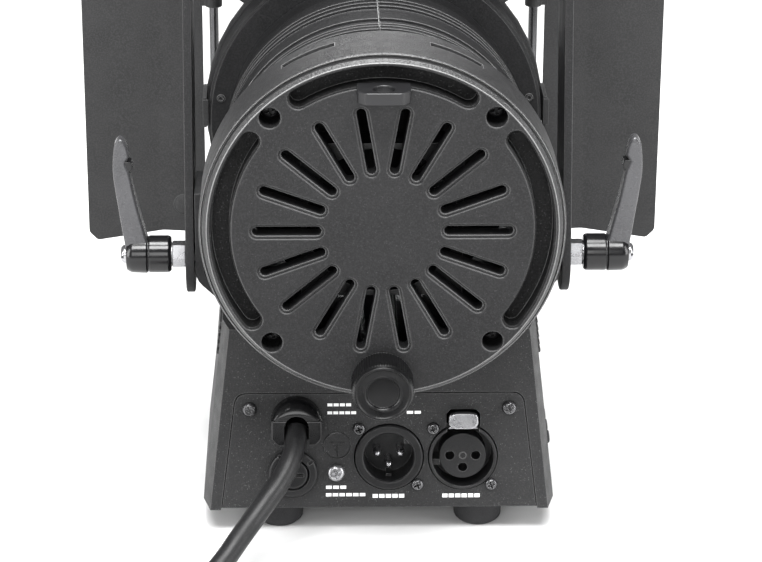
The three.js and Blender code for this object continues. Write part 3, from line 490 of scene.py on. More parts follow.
def block(x0, x1, y0, y1, z0, z1, bevel=0.3):
    bm = bmesh.new()
    bmesh.ops.create_cube(bm, size=1)
    bm.transform(Matrix.Translation(((x0 + x1) / 2, (y0 + y1) / 2, (z0 + z1) / 2))
                 @ Matrix.Diagonal((x1 - x0, y1 - y0, z1 - z0, 1)))
    if bevel:
        bmesh.ops.bevel(bm, geom=bm.edges, offset=bevel, segments=2, profile=0.6, affect="EDGES")
    return bm


def tube(points, radius, closed=False, sides=10):
    """A round wire along points."""
    bm = bmesh.new()
    points = [Vector(p) for p in points]
    count = len(points)
    rings = []
    side = None
    for i, point in enumerate(points):
        before = points[i - 1] if closed or i else point
        after = points[(i + 1) % count] if closed or i + 1 < count else point
        along = (after - before).normalized()
        if side is None:
            side = along.orthogonal().normalized()
        side = (side - along * side.dot(along)).normalized()
        up = along.cross(side)
        rings.append([bm.verts.new(point + (side * cos(a) + up * sin(a)) * radius)
                      for a in (2 * pi * k / sides for k in range(sides))])
    return settled(skin(bm, rings + rings[:1] if closed else rings, ends=not closed))


def moved(bm, matrix):
    bm.transform(matrix)
    return settled(bm)


def sliced(bm, places):
    """The shape with a row of edges across it at each place along X."""
    for along in places:
        bmesh.ops.bisect_plane(bm, geom=bm.verts[:] + bm.edges[:] + bm.faces[:], plane_co=(along, 0, 0),
                               plane_no=(1, 0, 0), dist=1e-4)
    return bm


def as_mesh(bm):
    mesh = bpy.data.meshes.new("made")
    bm.to_mesh(mesh)
    bm.free()
    return mesh


def join(*shapes):
    whole = bmesh.new()
    for shape in shapes:
        mesh = as_mesh(shape)
        whole.from_mesh(mesh)
        bpy.data.meshes.remove(mesh)
    return whole


def modified(bm, kind, tool=None, **settings):
    """The shape after one modifier. A tool is a second shape that a boolean cuts with."""
    holder = put("holder", as_mesh(bm))
    modifier = holder.modifiers.new("made", kind)
    cutter = None
    if tool is not None:
        cutter = put("cutter", as_mesh(tool))
        modifier.object = cutter
    for name, value in settings.items():
        setattr(modifier, name, value)
    result = bpy.data.meshes.new_from_object(holder.evaluated_get(bpy.context.evaluated_depsgraph_get()))
    made = bmesh.new()
    made.from_mesh(result)
    bpy.data.meshes.remove(result)
    for used in (holder, cutter):
        if used is not None:
            bpy.data.meshes.remove(used.data)
    return made


def cut(whole, *tools):
    for tool in tools:
        whole = modified(whole, "BOOLEAN", tool, operation="DIFFERENCE", solver="EXACT")
    return whole


def softened(bm, width, segments=2, angle=35):
    bmesh.ops.dissolve_limit(bm, angle_limit=0.5 * DEG, verts=bm.verts, edges=bm.edges)
    return modified(bm, "BEVEL", width=width, segments=segments, limit_method="ANGLE",
                    angle_limit=angle * DEG, miter_outer="MITER_ARC", use_clamp_overlap=True)


def piece(name, bm, where, slot, material, *replaced, body="lamp", sharp=32):
    """Makes a shape a piece that rides on a body and stands for CAD nodes."""
    bm = moved(bm, where)
    mesh = as_mesh(bm)
    mesh.name = name
    mesh.shade_smooth()
    mesh.set_sharp_from_angle(angle=sharp * DEG)
    mesh.materials.append(material)
    made = put(name, mesh)
    crisp = made.modifiers.new("crisp", "WEIGHTED_NORMAL")
    crisp.keep_sharp = True
    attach(made, body)
    if replaced:
        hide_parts(*replaced)
    return made


# ---- power cord, its coil and its plug

CORD_R = 3.5
COIL_CENTRE = (30, 158)
COIL_TURN = 930 * DEG                # each of the coil's two layers
COIL_OUTER = 48.6
COIL_INNER = 30
COIL_EXIT_R = 56.2
COIL_STEPS = 520
LAID_Z = 3.6                         # height of the cord's centre on the floor
LAYER = 7.2
CORD_ROUTE = [
    (26.8, 51, 38.6), (27.2, 56, 35.3), (28.9, 61.3, 31.6), (31.8, 66.3, 27.6), (36.2, 71.8, 23.3),
    (40.7, 77.1, 19), (45.2, 82.3, 14.6), (50, 87.8, 9.8), (55, 93.2, 6.4), (60.4, 98.6, 4.4),
    (65.8, 104.2, 3.7), (70.8, 110.3, 3.6), (74.8, 117, 3.6), (77.4, 124, 3.6), (78.5, 130.4, 3.6),
]
TAIL_ROUTE = [(1.9, 206.7, 3.6), (-3.3, 203.7, 3.6), (-6.8, 201.7, 3.9), (-10.3, 199.6, 4.7),
              (-13.7, 197.7, 5.95)]
PLUG_ENTRY = (-14, 197.5, 6.05)
PLUG = place(*PLUG_ENTRY) @ turned(210 * DEG, "Z") @ turned(-22 * DEG, "Y")


def ease(t):
    t = min(1, max(0, t))
    return t * t * (3 - 2 * t)


def coil_point(angle):
    """A point of the coil: in along the floor, up a layer, and out again over the first layer."""
    share = min(angle, 2 * COIL_TURN) / COIL_TURN
    if share < 1:
        radius = COIL_OUTER + (COIL_INNER - COIL_OUTER) * share
    else:
        radius = COIL_INNER + (COIL_OUTER - COIL_INNER) * (share - 1)
    height = LAID_Z + LAYER * ease((angle - COIL_TURN + 50 * DEG) / (100 * DEG))
    over = angle - 2 * COIL_TURN
    radius += (COIL_EXIT_R - radius) * ease((over + 70 * DEG) / (80 * DEG))
    height -= LAYER * ease((over + 10 * DEG) / (70 * DEG))
    return (COIL_CENTRE[0] + radius * cos(angle), COIL_CENTRE[1] + radius * sin(angle), height)


def through(points, steps=5):
    """A smooth line through points."""
    line = []
    for i in range(len(points) - 1):
        a = Vector(points[max(0, i - 1)])
        b, c = Vector(points[i]), Vector(points[i + 1])
        d = Vector(points[min(len(points) - 1, i + 2)])
        for step in range(steps):
            t = step / steps
            line.append(0.5 * (2 * b + (c - a) * t + (2 * a - 5 * b + 4 * c - d) * t * t
                               + (3 * b - a - 3 * c + d) * t ** 3))
    line.append(Vector(points[-1]))
    return line


def power_cord():
    coil_end = 2 * COIL_TURN + 60 * DEG
    turns = [coil_point(coil_end * i / COIL_STEPS) for i in range(COIL_STEPS + 1)]
    straight = [(78.6, 137.5, 3.6), (78.6, 145, 3.6), (78.6, 152, 3.6)]
    line = through(CORD_ROUTE + straight + [turns[0]]) + [Vector(p) for p in turns[1:]]
    line += through([turns[-1]] + TAIL_ROUTE[1:])[1:]
    curve = bpy.data.curves.new("power_cord_line", "CURVE")
    curve.dimensions = "3D"
    curve.bevel_depth = CORD_R * MM
    curve.bevel_resolution = 6
    curve.use_fill_caps = True
    spline = curve.splines.new("POLY")
    spline.points.add(len(line) - 1)
    for point, spot in zip(spline.points, line):
        point.co = (*(spot * MM), 1)
    spline.use_smooth = True
    curve.materials.append(SHEATH)
    made = put("power_lead", curve)
    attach(made, "lamp")
    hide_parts("power_cord", "cord_coil", "cord_tail")
    return made


def mains_plug():
    """Moulded earthed plug with a ribbed relief, two earth clips and two pins."""
    relief = [(0, 0), (4.4, 0)]
    for rib in range(6):
        start = 1.2 + rib * 3.3
        radius = 4.6 + rib * 0.3
        relief += [(radius, start), (radius, start + 2), (radius - 0.7, start + 2.3),
                   (radius - 0.6, start + 3)]
    relief += [(6.4, 21.2), (7.6, 22.5, 1.5), (13.5, 29.5, 3), (17.6, 31, 1), (18.5, 33, 1),
               (18.5, 48.2, 0.8), (17.7, 49), (14, 49, 0.4), (13.6, 48.2, 0.3), (0, 48.2)]
    body = spun(relief, 0.3, axis="x", steps=72)
    grip = [block(33, 46, -5.2 + k * 2.6 - 0.5, -5.2 + k * 2.6 + 0.5, 18.1, 18.9, 0.3) for k in range(5)]
    piece("mains_plug_body", join(body, *grip), PLUG, "cord_black", RUBBER, "mains_plug")
    clips = [moved(block(37, 49.4, -2.4, 2.4, 17.6, 18.7, 0.3), turned(a, "X")) for a in (pi / 2, -pi / 2)]
    piece("plug_earth_clips", join(*clips), PLUG, "zinc", ZINC)
    pins = []
    for y in (-9.5, 9.5):
        pins.append(spun([(0, 48), (2.4, 48), (2.4, 66.6, 1.2), (0, 68)], 0.3, axis="x", at=(0, y, 0),
                         steps=32))
    piece("plug_pins", join(*pins), PLUG, "zinc", ZINC)


cord = power_cord()
mains_plug()

# ---- rear cap

RAY_COUNT = 18
ARCS = ((pi / 2, 31 * DEG), (0, 36 * DEG), (pi, 36 * DEG))
SCREW_AT = [(sx * 50 * sin(43 * DEG), sz * 50 * cos(43 * DEG)) for sz in (1, -1) for sx in (1, -1)]
RAY_ANGLES = [(i + 0.5) * 2 * pi / RAY_COUNT for i in range(RAY_COUNT)]


def rear_cap():
    edge = 53.7
    holes = [slot_loop(17.9, 40.6, 4.5, a) for a in RAY_ANGLES]
    holes += [arc_loop(middle, half, 46.4, 52.8) for middle, half in ARCS]
    holes += [round_loop(x, z, 3.25, 32) for x, z in SCREW_AT]
    face = plate([round_loop(0, 0, edge, 160)] + holes, -3.2, 0, bevel=0.01, hole_bevel=0.4, steps=3)
    rim = [(edge, 0, 0.01), (54.9, -1.1, 0.2), (55, -3.5), (55.5, -3.5), (55.6, -2.5, 0.2),
           (CAP_R, -3, 0.3), (CAP_R, -25, 0.5), (50.3, -25), (50.3, -22.5), (53.7, -22.5), (53.7, -3.2),
           (edge, -3.2)]
    band = lathe(soft(rim, 0.2), steps=160)
    grooves = [lathe([(55, -15.2), (58, -15.2), (58, -18.8), (55, -18.8)], steps=16,
                     arc=(90 * DEG + side * 15 * DEG, 90 * DEG + side * 33 * DEG)) for side in (-1, 1)]
    band = cut(band, *grooves)
    piece("rear_cap_face", face, HEAD, "cast_black", CAST, "rear_cap")
    piece("rear_cap_rim", band, HEAD, "cast_black", CAST_RIM)
    sleeves = [plate([slot_loop(17.7, 40.8, 4.9, a), slot_loop(18.7, 39.8, 2.9, a)], -6.5, -0.75, 0.3,
                     steps=3) for a in RAY_ANGLES]
    wells = [spun([(3.3, -0.7), (4.9, -0.7), (4.9, -12), (0, -12), (0, -9.7), (3.3, -9.7)], 0.2,
                  at=(x, 0, z), steps=32) for x, z in SCREW_AT]
    piece("rear_cap_vents", join(*sleeves, *wells), HEAD, "cast_black", CAST)
    troughs = []
    for middle, half in ARCS:
        outer = arc_loop(middle, half, 45.3, 53.6)
        troughs.append(plate([outer, arc_loop(middle, half, 46.9, 52.3)], -7.5, -0.9, 0.5, steps=3))
        troughs.append(plate([outer], -8.6, -7.2, 0.2))
    # The troughs take the darker copy of the cast paint, painted shade in the recesses.
    piece("rear_cap_troughs", join(*troughs), HEAD, "cast_black", CAST_GRAIN_SHADED)
    eye_outline = soft([(-8, -1), (8, -1), (8, 7), (5.5, 9.5), (-5.5, 9.5), (-8, 7)], 0.8)
    eye = plate([eye_outline, round_loop(0, 5, 3.3, 32)], 43.5, 47.4, 0.4, axis="z", steps=3)
    piece("safety_eye", eye, HEAD, "cast_black", BLACK_ANODISED_AND_SHADE)


rear_cap()


def recess_screw(radius, height, at, base=0.0):
    """A pan-head screw with a cross recess."""
    head = spun([(0, base - 1), (radius, base - 1), (radius, base + height * 0.35, 0.4),
                 (radius * 0.72, base + height, 0.8), (0, base + height)], 0.2, at=(at[0], 0, at[1]),
                steps=40)
    wide, thin = radius * 0.6, radius * 0.17
    x, z = at
    low, high = base - 0.1, base + height + 2
    slots = [block(x - wide, x + wide, low, high, z - thin, z + thin, 0),
             block(x - thin, x + thin, low, high, z - wide, z + wide, 0)]
    turn = shift(x, 0, z) @ turned(20 * DEG, "Y") @ shift(-x, 0, -z)
    return cut(head, *[moved(s, turn) for s in slots])


# The cap screws take a much darker black than the panel screws: painted shade for the deep wells they sit
# in.
for (x, z), corner in zip(SCREW_AT, ("top_left", "top_right", "bottom_left", "bottom_right")):
    piece(f"cap_screw_head_{corner}", recess_screw(3.1, 1.9, (x, z), -9.4), HEAD, "screw_black",
          BLACK_ANODISED_AND_SHADE, f"cap_screw_{corner}")

# ---- finned body

FINS = [(-30, -33), (-36, -39), (-42, -44.5), (-46.7, -48.5), (-49.8, -51.2), (-52.3, -54.5),
        (-58, -68.3), (-71.2, -73), (-75.2, -77), (-78.8, -81)]


def shell_half(name, side):
    profile = [(48.8, SHELL_FROM)]
    for start, end in FINS:
        profile += [(48, start), (50, start, 0.35), (50, end, 0.35), (48, end)]
        if start - end > 5:
            profile[-3:-1] = [(50, start, 0.4), (49.5, start - 0.8), (49.5, end + 0.8), (50, end, 0.4)]
    profile += [(48.6, -84), (49.3, -89.6, 0.8), (48.5, -90.2), (48.3, -102.7), (47, -102.7),
                (47, SHELL_FROM)]
    start = 0.17 * DEG + (90 * DEG if side < 0 else -90 * DEG + 7.2 * DEG)
    end = (270 * DEG - 7.2 * DEG) if side < 0 else 89.83 * DEG
    bm = lathe(soft(profile, 0.15), steps=90, arc=(start, end))
    drift = 0.35 if side < 0 else 0
    piece(f"{name}_casting", moved(bm, shift(0, -drift, 0)), HEAD, "cast_black", FIN, name)


shell_half("shell_left", 1)
shell_half("shell_right", -1)

# ---- front ring, optics


def front_ring():
    profile = [(46, -103), (55.2, -103, 0.2), (55.4, -103.6), (56.2, -103.8, 0.3), (56.2, -116.6, 0.4),
               (51.4, -116.6), (51.4, -104.7), (46, -104.7)]
    ring = lathe(soft(profile, 0.25), steps=144)
    rivets = [spun([(0, -103.5), (1.3, -103.5), (1.3, -102.5, 0.3), (0.8, -102.2, 0.2), (0.6, -102.6),
                    (0, -102.7)], 0.1, at=(52.4 * sin(a), 0, 52.4 * cos(a)), steps=20)
              for a in (81 * DEG, -81 * DEG, 162 * DEG, -162 * DEG)]
    piece("front_ring_casting", join(ring, *rivets), HEAD, "cast_black", RING_COAT, "front_ring")


def optics():
    curve = [(51 * t, -108 - 5.5 * (1 - t * t)) for t in (1, 0.93, 0.86, 0.77, 0.68, 0.58, 0.47, 0.35, 0.22,
                                                          0.1, 0)]
    body = lathe([(0, -105), (51, -105)] + curve, steps=128)
    piece("plano_convex_lens", body, HEAD, "lens_glass", LENS, "lens", sharp=40)
    back = -63.3
    board = plate([box_loop(-13, 13, -13, 13, 1.5)] + [round_loop(sx * 10.6, sz * 10.6, 1.3, 20)
                                                       for sx in (-1, 1) for sz in (-1, 1)], back - 1.6,
                  back, 0.15)
    piece("led_board", board, HEAD, "led_yellow", PRINT, body="carriage")
    disc = spun([(0, back - 1.5), (8, back - 1.5), (8, back - 2.6, 0.4), (7.2, back - 2.2, 0.3),
                 (0, back - 2.2)], 0.2, steps=64)
    piece("led_phosphor", disc, HEAD, "led_yellow", PHOSPHOR, "led_module", body="carriage")
    dome = [(7.1 * cos(a), back - 2.3 - 6.6 * sin(a)) for a in (k * pi / 20 for k in range(11))]
    piece("led_dome", lathe([(0, back - 2.3)] + dome, steps=64), HEAD, "lens_glass", DOME, body="carriage")


front_ring()
optics()

# ---- barn doors


def lug_at(x, y, z, along):
    """A rolled lug that holds the end of a hinge pin."""
    eye = lathe(soft([(1.75, -2.4), (2.7, -2.4), (2.7, 2.4), (1.75, 2.4)], 0.25), axis=along, at=(x, y, z),
                steps=32)
    if along == "z":
        wide, tall = 0.8, 2.4
    else:
        wide, tall = 2.4, 0.8
    return join(eye, block(x - wide, x + wide, y + 2.0, -117.4, z - tall, z + tall, 0.2))


def barn_door_frame():
    front, back = -118.9, -116.9
    radius = 57.4
    outline = []
    reach = asin(37 / radius)
    tip = hypot(56, 56)
    for quarter in range(4):
        for i in range(11):
            a = quarter * pi / 2 - reach + 2 * reach * i / 10
            outline.append((radius * cos(a), radius * sin(a)))
        middle = quarter * pi / 2 + pi / 4
        corner = [(tip - 8.5, -7.5), (tip - 4, -4), (tip - 4, 4), (tip - 8.5, 7.5)]
        for u, v in soft(corner, 3, closed=False):
            outline.append((u * cos(middle) - v * sin(middle), u * sin(middle) + v * cos(middle)))
    sheet = plate([outline, round_loop(0, 0, 47, 120)], front, back, 0.35)
    shapes = [sheet]
    for side in (-1, 1):
        for end in (-1, 1):
            shapes.append(lug_at(side * SIDE_PIN[0], SIDE_PIN[1], end * 42.5, "z"))
            shapes.append(lug_at(end * 40.5, WIDE_PIN[1], side * WIDE_PIN[0], "x"))
        x = side * 57.3
        shapes.append(block(x - 0.7, x + 0.7, -118.4, -103.5, -2.3, 8.3, 0.4))
        shapes.append(block(x - 1.3, x + 0.7, -104.4, -102.9, -1.6, 7.6, 0.4))
    piece("barn_door_holder", join(*shapes), HEAD, "sheet_black", SHEET, "barn_door_frame")


LEAF_START, LEAF_FOLD, LEAF_LENGTH, LEAF_FLARE = 4, 19.3, 45.4, 6 * DEG
FOLD_RUN = 1.8                       # length of sheet that is bent at a leaf's fold


def leaf(half_fold, half_edge, knuckle, half_knuckle, domes):
    """A folded sheet on a hinge along Z that opens to +X."""
    outline = [(LEAF_START, -half_fold), (LEAF_FOLD, -half_fold), (LEAF_LENGTH - 3, -half_edge),
               (LEAF_LENGTH, -half_edge + 3), (LEAF_LENGTH, half_edge - 3), (LEAF_LENGTH - 3, half_edge),
               (LEAF_FOLD, half_fold), (LEAF_START, half_fold)]
    bm = plate([soft(outline, 1)], -0.6, 0.6, 0.3)
    sliced(bm, [LEAF_FOLD - FOLD_RUN / 2 + 0.3 * k for k in range(7)])
    for vert in bm.verts:
        over = vert.co.x - (LEAF_FOLD - FOLD_RUN / 2)
        if over > 0:
            turn = LEAF_FLARE * min(1, over / FOLD_RUN)
            reach = max(0, over - FOLD_RUN)
            if reach:
                vert.co.y += FOLD_RUN * LEAF_FLARE / 2 + reach * sin(LEAF_FLARE)
            else:
                vert.co.y += over * turn / 2
            vert.co.x -= reach * (1 - cos(LEAF_FLARE))
    knuckles = []
    for middle in (-knuckle, knuckle):
        low, high = middle - half_knuckle, middle + half_knuckle
        eye = [(1.75, low), (2.9, low), (2.9, high), (1.75, high)]
        knuckles.append(lathe(soft(eye, 0.3), axis="z", steps=32))
        knuckles.append(block(2.4, LEAF_START + 0.8, -0.6, 0.6, low, high, 0.2))
    for z in domes:
        knuckles.append(spun([(0, 0), (3.8, 0), (3.8, 0.8, 0.2), (3, 1.5, 1), (0, 2)], 0.2, at=(11.5, 0, z),
                             steps=32))
    return join(bm, *knuckles)


def leaves():
    rest = SIDE_OPEN - pi / 2
    for side, name in SIDES:
        hinge = HEAD @ (Matrix.Identity(4) if side > 0 else MIRROR) @ shift(*SIDE_PIN, 0) @ turned(rest, "Z")
        piece(f"barn_door_{name}", leaf(50, 54, 36, 3.4, (-40, 40)), hinge, "sheet_black", SHEET,
              f"leaf_{name}", body=f"leaf_{name}")
    for side, name in ((1, "top"), (-1, "bottom")):
        lean = pi / 2 - TOP_OPEN if side > 0 else BOTTOM_OPEN - pi / 2
        hinge = HEAD @ shift(0, WIDE_PIN[1], side * WIDE_PIN[0]) @ turned(lean,
                                                                          "X") @ turned(-side * pi / 2, "Y")
        piece(f"barn_door_{name}", leaf(48, 49, 30, 6, ()), hinge, "sheet_black", SHEET, f"leaf_{name}",
              body=f"leaf_{name}")


barn_door_frame()
leaves()

# ---- yoke and clamp levers

YOKE_HEIGHT, YOKE_OUT, YOKE_BEND, STRAP = 135, 62.5, 10, 2.8


def yoke():
    """A flat strap with its holes, bent twice round its corners."""
    middle_r = YOKE_BEND - STRAP / 2
    bend_from = YOKE_OUT - YOKE_BEND
    bend_length = middle_r * pi / 2
    pivot = bend_from + bend_length + YOKE_HEIGHT - YOKE_BEND
    outline = []
    for side in (1, -1):
        for i in range(17):
            a = -pi / 2 + pi * i / 16 if side > 0 else pi / 2 + pi * i / 16
            outline.append((side * pivot + 12.5 * cos(a), 12.5 * sin(a)))
    holes = [round_loop(pivot, 0, STUD_HOLE_R, 32), round_loop(-pivot, 0, STUD_HOLE_R, 32),
             round_loop(0, 0, 5.25, 40)]
    bm = plate([outline] + holes, -STRAP / 2, STRAP / 2, 0.45, axis="z")
    sliced(bm, [side * (bend_from + bend_length * k / 8) for side in (-1, 1) for k in range(9)])
    for vert in bm.verts:
        u, v, w = vert.co
        side = 1 if u > 0 else -1
        over = abs(u) - bend_from
        if over <= 0:
            vert.co = (u, v, YOKE_HEIGHT - STRAP / 2 + w)
        elif over < bend_length:
            a = over / middle_r
            vert.co = (side * (bend_from + (middle_r + w) * sin(a)), v,
                       YOKE_HEIGHT - YOKE_BEND + (middle_r + w) * cos(a))
        else:
            vert.co = (side * (YOKE_OUT - STRAP / 2 + w), v, YOKE_HEIGHT - YOKE_BEND - (over - bend_length))
    piece("yoke_strap", bm, YOKE, "powder_black", YOKE_COAT, "yoke", body="yoke")


def hexagon(x0, x1, flats):
    radius = flats / 2 / cos(pi / 6)
    loop = [(radius * cos(pi * k / 3), radius * sin(pi * k / 3)) for k in range(6)]
    return plate([loop], x0, x1, 0.35, axis="x")


def levers():
    for side, name in SIDES:
        where = LEVER if side > 0 else LEVER @ MIRROR
        stud = spun([(0, 52), (2.8, 52), (2.8, 63, 0.1), (3.4, 66.5), (3.4, 82.2), (3, 82.2),
                     (3, 83.2, 0.4), (2.2, 84), (0, 84)], 0.25, axis="x", steps=40)
        stud = cut(stud, block(83, 86, -3.4, 3.4, -0.45, 0.45, 0))
        piece(f"clamp_stud_{name}", join(stud, hexagon(62.8, 67.2, 7.6)), where, "zinc", ZINC,
              f"lever_insert_{name}", body=f"lever_{name}")
        hub = lathe(soft([(4, 67.4), (5.4, 67.4, 0.3), (6.1, 68.2, 0.5), (6.1, 74.6), (5.75, 75),
                          (6.3, 75.5), (6.1, 80.5, 0.6), (5.2, 82.2, 0.6), (4, 82.2)], 0.25), axis="x",
                    steps=72)
        piece(f"clamp_hub_{name}", hub, where, "nylon_black", GLOSS, f"lever_handle_{name}",
              body=f"handle_{name}")
        outline = [(82.2, 2), (82.6, 5), (85, 22.3, 6), (85.8, 29, 5), (85.5, 35, 4), (84.9, 38.9, 1.5),
                   (83.6, 40.6, 1), (82.0, 40.2, 1), (80.9, 37.8, 1), (80.2, 34.4), (81.6, 32.3),
                   (80.3, 29, 1), (78.6, 19.6, 6), (76.6, 11.5, 4), (75.1, 5.2), (75.4, 2)]
        arm = plate([soft(outline, 0.4)], -3.6, 3.6, 1.0, steps=4)
        for vert in arm.verts:
            taper = 1 - 0.3 * ease((vert.co.z - 6) / 34)
            vert.co.y *= taper
        piece(f"clamp_arm_{name}", arm, where, "lever_grey", LEVER_COAT, body=f"handle_{name}")
        step = plate([soft([(82, 33), (79.7, 32.6), (79.2, 30.8), (80.2, 28.9), (82, 29)], 0.3)], -2.4, 2.4,
                     0.3)
        piece(f"clamp_step_{name}", step, where, "nylon_black", GLOSS, body=f"handle_{name}")


def brackets():
    """Straps that stand on the base, slope outward and rise to carry the ends of the yoke."""
    bottom, bend, top = BASE_TOP + 0.3, PIVOT_Z - 5, PIVOT_Z + 25
    side_view = soft([(41, bottom), (49.6, bottom, 1.5), (59.3, bend, 3), (59.3, top), (56.6, top),
                      (56.6, bend + 1.5, 2), (48.6, bottom + 2.5, 1.5), (41, bottom + 2.5)], 0.5)
    hole = lathe([(0, 50), (STUD_HOLE_R, 50), (STUD_HOLE_R, 65), (0, 65)], axis="x",
                 at=(0, PIVOT_Y, PIVOT_Z), steps=32)
    for side, name in SIDES:
        strap = cut(plate([side_view], PIVOT_Y - 11, PIVOT_Y + 11, 0.35), hole.copy())
        piece(f"yoke_strap_foot_{name}", strap, HEAD if side > 0 else HEAD @ MIRROR, "powder_black",
              YOKE_COAT, f"yoke_bracket_{name}")


yoke()
levers()
brackets()

# ---- zoom knob


def zoom_knob():
    ridges = 66
    profile = soft([(0, 0.5), (9.3, 0.5), (9.6, 1), (9.6, 9.9), (9.1, 10.6, 0.3), (8.9, 11.3, 0.3),
                    (8.3, 11.5), (7.9, 11.1), (6.2, 11.2), (5.7, 11.4, 0.2), (5.1, 10.9), (4.9, 10.2),
                    (0, 10.1)], 0.15, closed=False)
    bm = lathe(profile, steps=ridges * 4)
    for vert in bm.verts:
        radius = hypot(vert.co.x, vert.co.z)
        if radius > 9.25 and 0.9 < vert.co.y < 10.2:
            angle = atan2(vert.co.z, vert.co.x)
            scale = 1 - 0.02 * (0.5 + 0.5 * cos(angle * ridges))
            vert.co.x *= scale
            vert.co.z *= scale
    piece("zoom_knob_cap", bm, ZOOM, "nylon_black", KNOB_BLACK, "zoom_knob", body="zoom", sharp=50)


zoom_knob()

# ---- base


def at_height(ends, height):
    """A measure of the base at a height, from its values at the bottom and at the top."""
    share = (height - BASE_BOTTOM) / (BASE_TOP - BASE_BOTTOM)
    return ends[0] + (ends[1] - ends[0]) * share


def base_ring(height, inset, rear_inset):
    half = at_height(BASE_HALF, height) - inset
    rear = at_height(BASE_REAR, height) - rear_inset
    front = at_height(BASE_FRONT, height) + inset
    return [(-half + 3, front), (half - 3, front), (half, front + 3), (half, rear - 9), (half - 2.4, rear),
            (2.4 - half, rear), (-half, rear - 9), (-half, front + 3)]


def loft(heights, inset, rear_inset):
    bm = bmesh.new()
    rings = [[bm.verts.new((x, y, z)) for x, y in base_ring(z, inset, rear_inset)] for z in heights]
    return settled(skin(bm, rings))


def panel_half(z):
    return 46.3 + (51.2 - 46.3) * (12.8 - z) / (12.8 + 26.2)


def panel_loop(grow, bottom):
    top = 12.8 + grow
    return soft([(-panel_half(bottom) - grow, bottom, 0.01), (panel_half(bottom) + grow, bottom, 0.01),
                 (panel_half(top) + grow, top, 3.8), (-panel_half(top) - grow, top, 3.8)], 3.8, steps=8)


BUTTONS = [(0, (k - 1.5) * 9, 10) for k in range(4)]


def base():
    whole = loft((BASE_BOTTOM, BASE_TOP), 0, 0)
    whole = cut(whole, loft((BASE_BOTTOM - 1, -60), 2.6, 3.2),
                lathe([(0, -130), (50.3, -130), (50.3, -10), (0, -10)], steps=128),
                lathe([(0, -130), (57.7, -130), (57.7, -102.7), (0, -102.7)], steps=128),
                block(-6, 6, -120, -10, -54.2, 0, 0), moved(plate([panel_loop(0.35, -30)], -1.5, 4, 0.01),
                                                            PANEL_LOCAL),
                moved(block(-39.4, 39.4, -8, 3, -22.5, 10, 0), PANEL_LOCAL),
                moved(block(-1.6, 3, -16.4, 16.4, -12.4, 2.4, 0), CONTROL_LOCAL),
                *[moved(lathe([(0, -6), (2.6, -6), (2.6, 3), (0, 3)], axis="x", at=at, steps=32),
                        CONTROL_LOCAL) for at in BUTTONS])
    whole = softened(whole, 0.45)
    ribs = []
    for k in range(5):
        height = BASE_TOP - 2.2 - k * 2.5
        half = at_height(BASE_HALF, height)
        for side in (-1, 1):
            edges = sorted((side * (half - 1), side * (half + 0.75)))
            ribs.append(block(*edges, -98, -42, height - 0.7, height + 0.7, 0.5))
    piece("base_casting", join(whole, *ribs), HEAD, "powder_black", POWDER, "base_housing")


def feet():
    for side_x, name_x in SIDES:
        for y, name_y in ((-95, "front"), (-37.8, "rear")):
            profile = [(0, -116), (6.2, -116), (7.8, -114.6, 1.4), (8, -107.3, 0.3), (0, -107.3)]
            foot = spun(profile, 0.3, axis="z", at=(side_x * 32.7, y, 0), steps=64)
            piece(f"foot_pad_{name_y}_{name_x}", foot, HEAD, "rubber_black", RUBBER,
                  f"foot_{name_y}_{name_x}")


base()
feet()

# ---- connector panel


def rear_panel():
    holes = [round_loop(*DMX_IN, XLR_R + 0.3, 64), round_loop(*FUSE, 6.3, 40), round_loop(*GLAND, 5.2, 32),
             round_loop(EARTH[0], EARTH[1], 1.9, 20), round_loop(42, 7.7, 1.7, 20),
             round_loop(-42, 7.7, 1.7, 20)]
    latch = asin(5.4 / (XLR_R + 0.3))
    collar = []
    for i in range(57):
        a = pi / 2 + latch + (2 * pi - 2 * latch) * i / 56
        collar.append((DMX_OUT[0] + (XLR_R + 0.3) * cos(a), DMX_OUT[1] + (XLR_R + 0.3) * sin(a)))
    collar += [(DMX_OUT[0] + 5.4, DMX_OUT[1] + 14.6), (DMX_OUT[0] + 4, DMX_OUT[1] + 16.1),
               (DMX_OUT[0] - 4, DMX_OUT[1] + 16.1), (DMX_OUT[0] - 5.4, DMX_OUT[1] + 14.6)]
    panel = plate([panel_loop(0, -26.2), *holes, collar], -1.2, 0, 0.2)
    piece("connector_panel", panel, PANEL, "powder_black", POWDER, "rear_panel")


def earth_mark():
    """An embossed circle with a plain upright and three bars."""
    x, z, y = 13.7, -4.9, 0.03
    marks = [tube([(u, y, v) for u, v in round_loop(x, z, 4.4, 64)], 0.22, closed=True, sides=8)]
    for half, up in ((2.4, 0.8), (1.6, 2.1), (0.9, 3.3)):
        marks.append(block(x - half, x + half, 0, 0.16, z - 2.6 + 4.2 - up, z - 2.6 + 4.55 - up, 0.08))
    marks.append(block(x - 0.18, x + 0.18, 0, 0.16, z - 3.8, z + 0.4, 0.08))
    # The mark takes the darker gloss black rather than the panel's powder coat: painted shade along its
    # embossed lines.
    piece("earth_mark", join(*marks), PANEL, "powder_black", GLOSS)


def printed_bars():
    """Rows of short plain bars where a maker prints its labels."""
    rows = [(17, 9, 9, 1.0), (17, 7.4, 6.3, 1.0), (-8.6, -13.6, 6.3, 1.0), (17.6, 10.6, -19.2, 1.1),
            (17.6, 4.4, -21.8, 1.1), (2.4, -8.3, -22.3, 1.3), (-20.3, -32.9, -22.3, 1.3)]
    bars = []
    for start, end, z, tall in rows:
        count = max(2, round((start - end) / 2.1))
        pitch = (start - end) / count
        for k in range(count):
            x = start - pitch * (k + 0.5)
            bars.append(block(x - pitch * 0.41, x + pitch * 0.41, -0.02, 0.06, z - tall / 2, z + tall / 2,
                              0.02))
    piece("printed_bars", join(*bars), PANEL, "powder_black", PRINT)


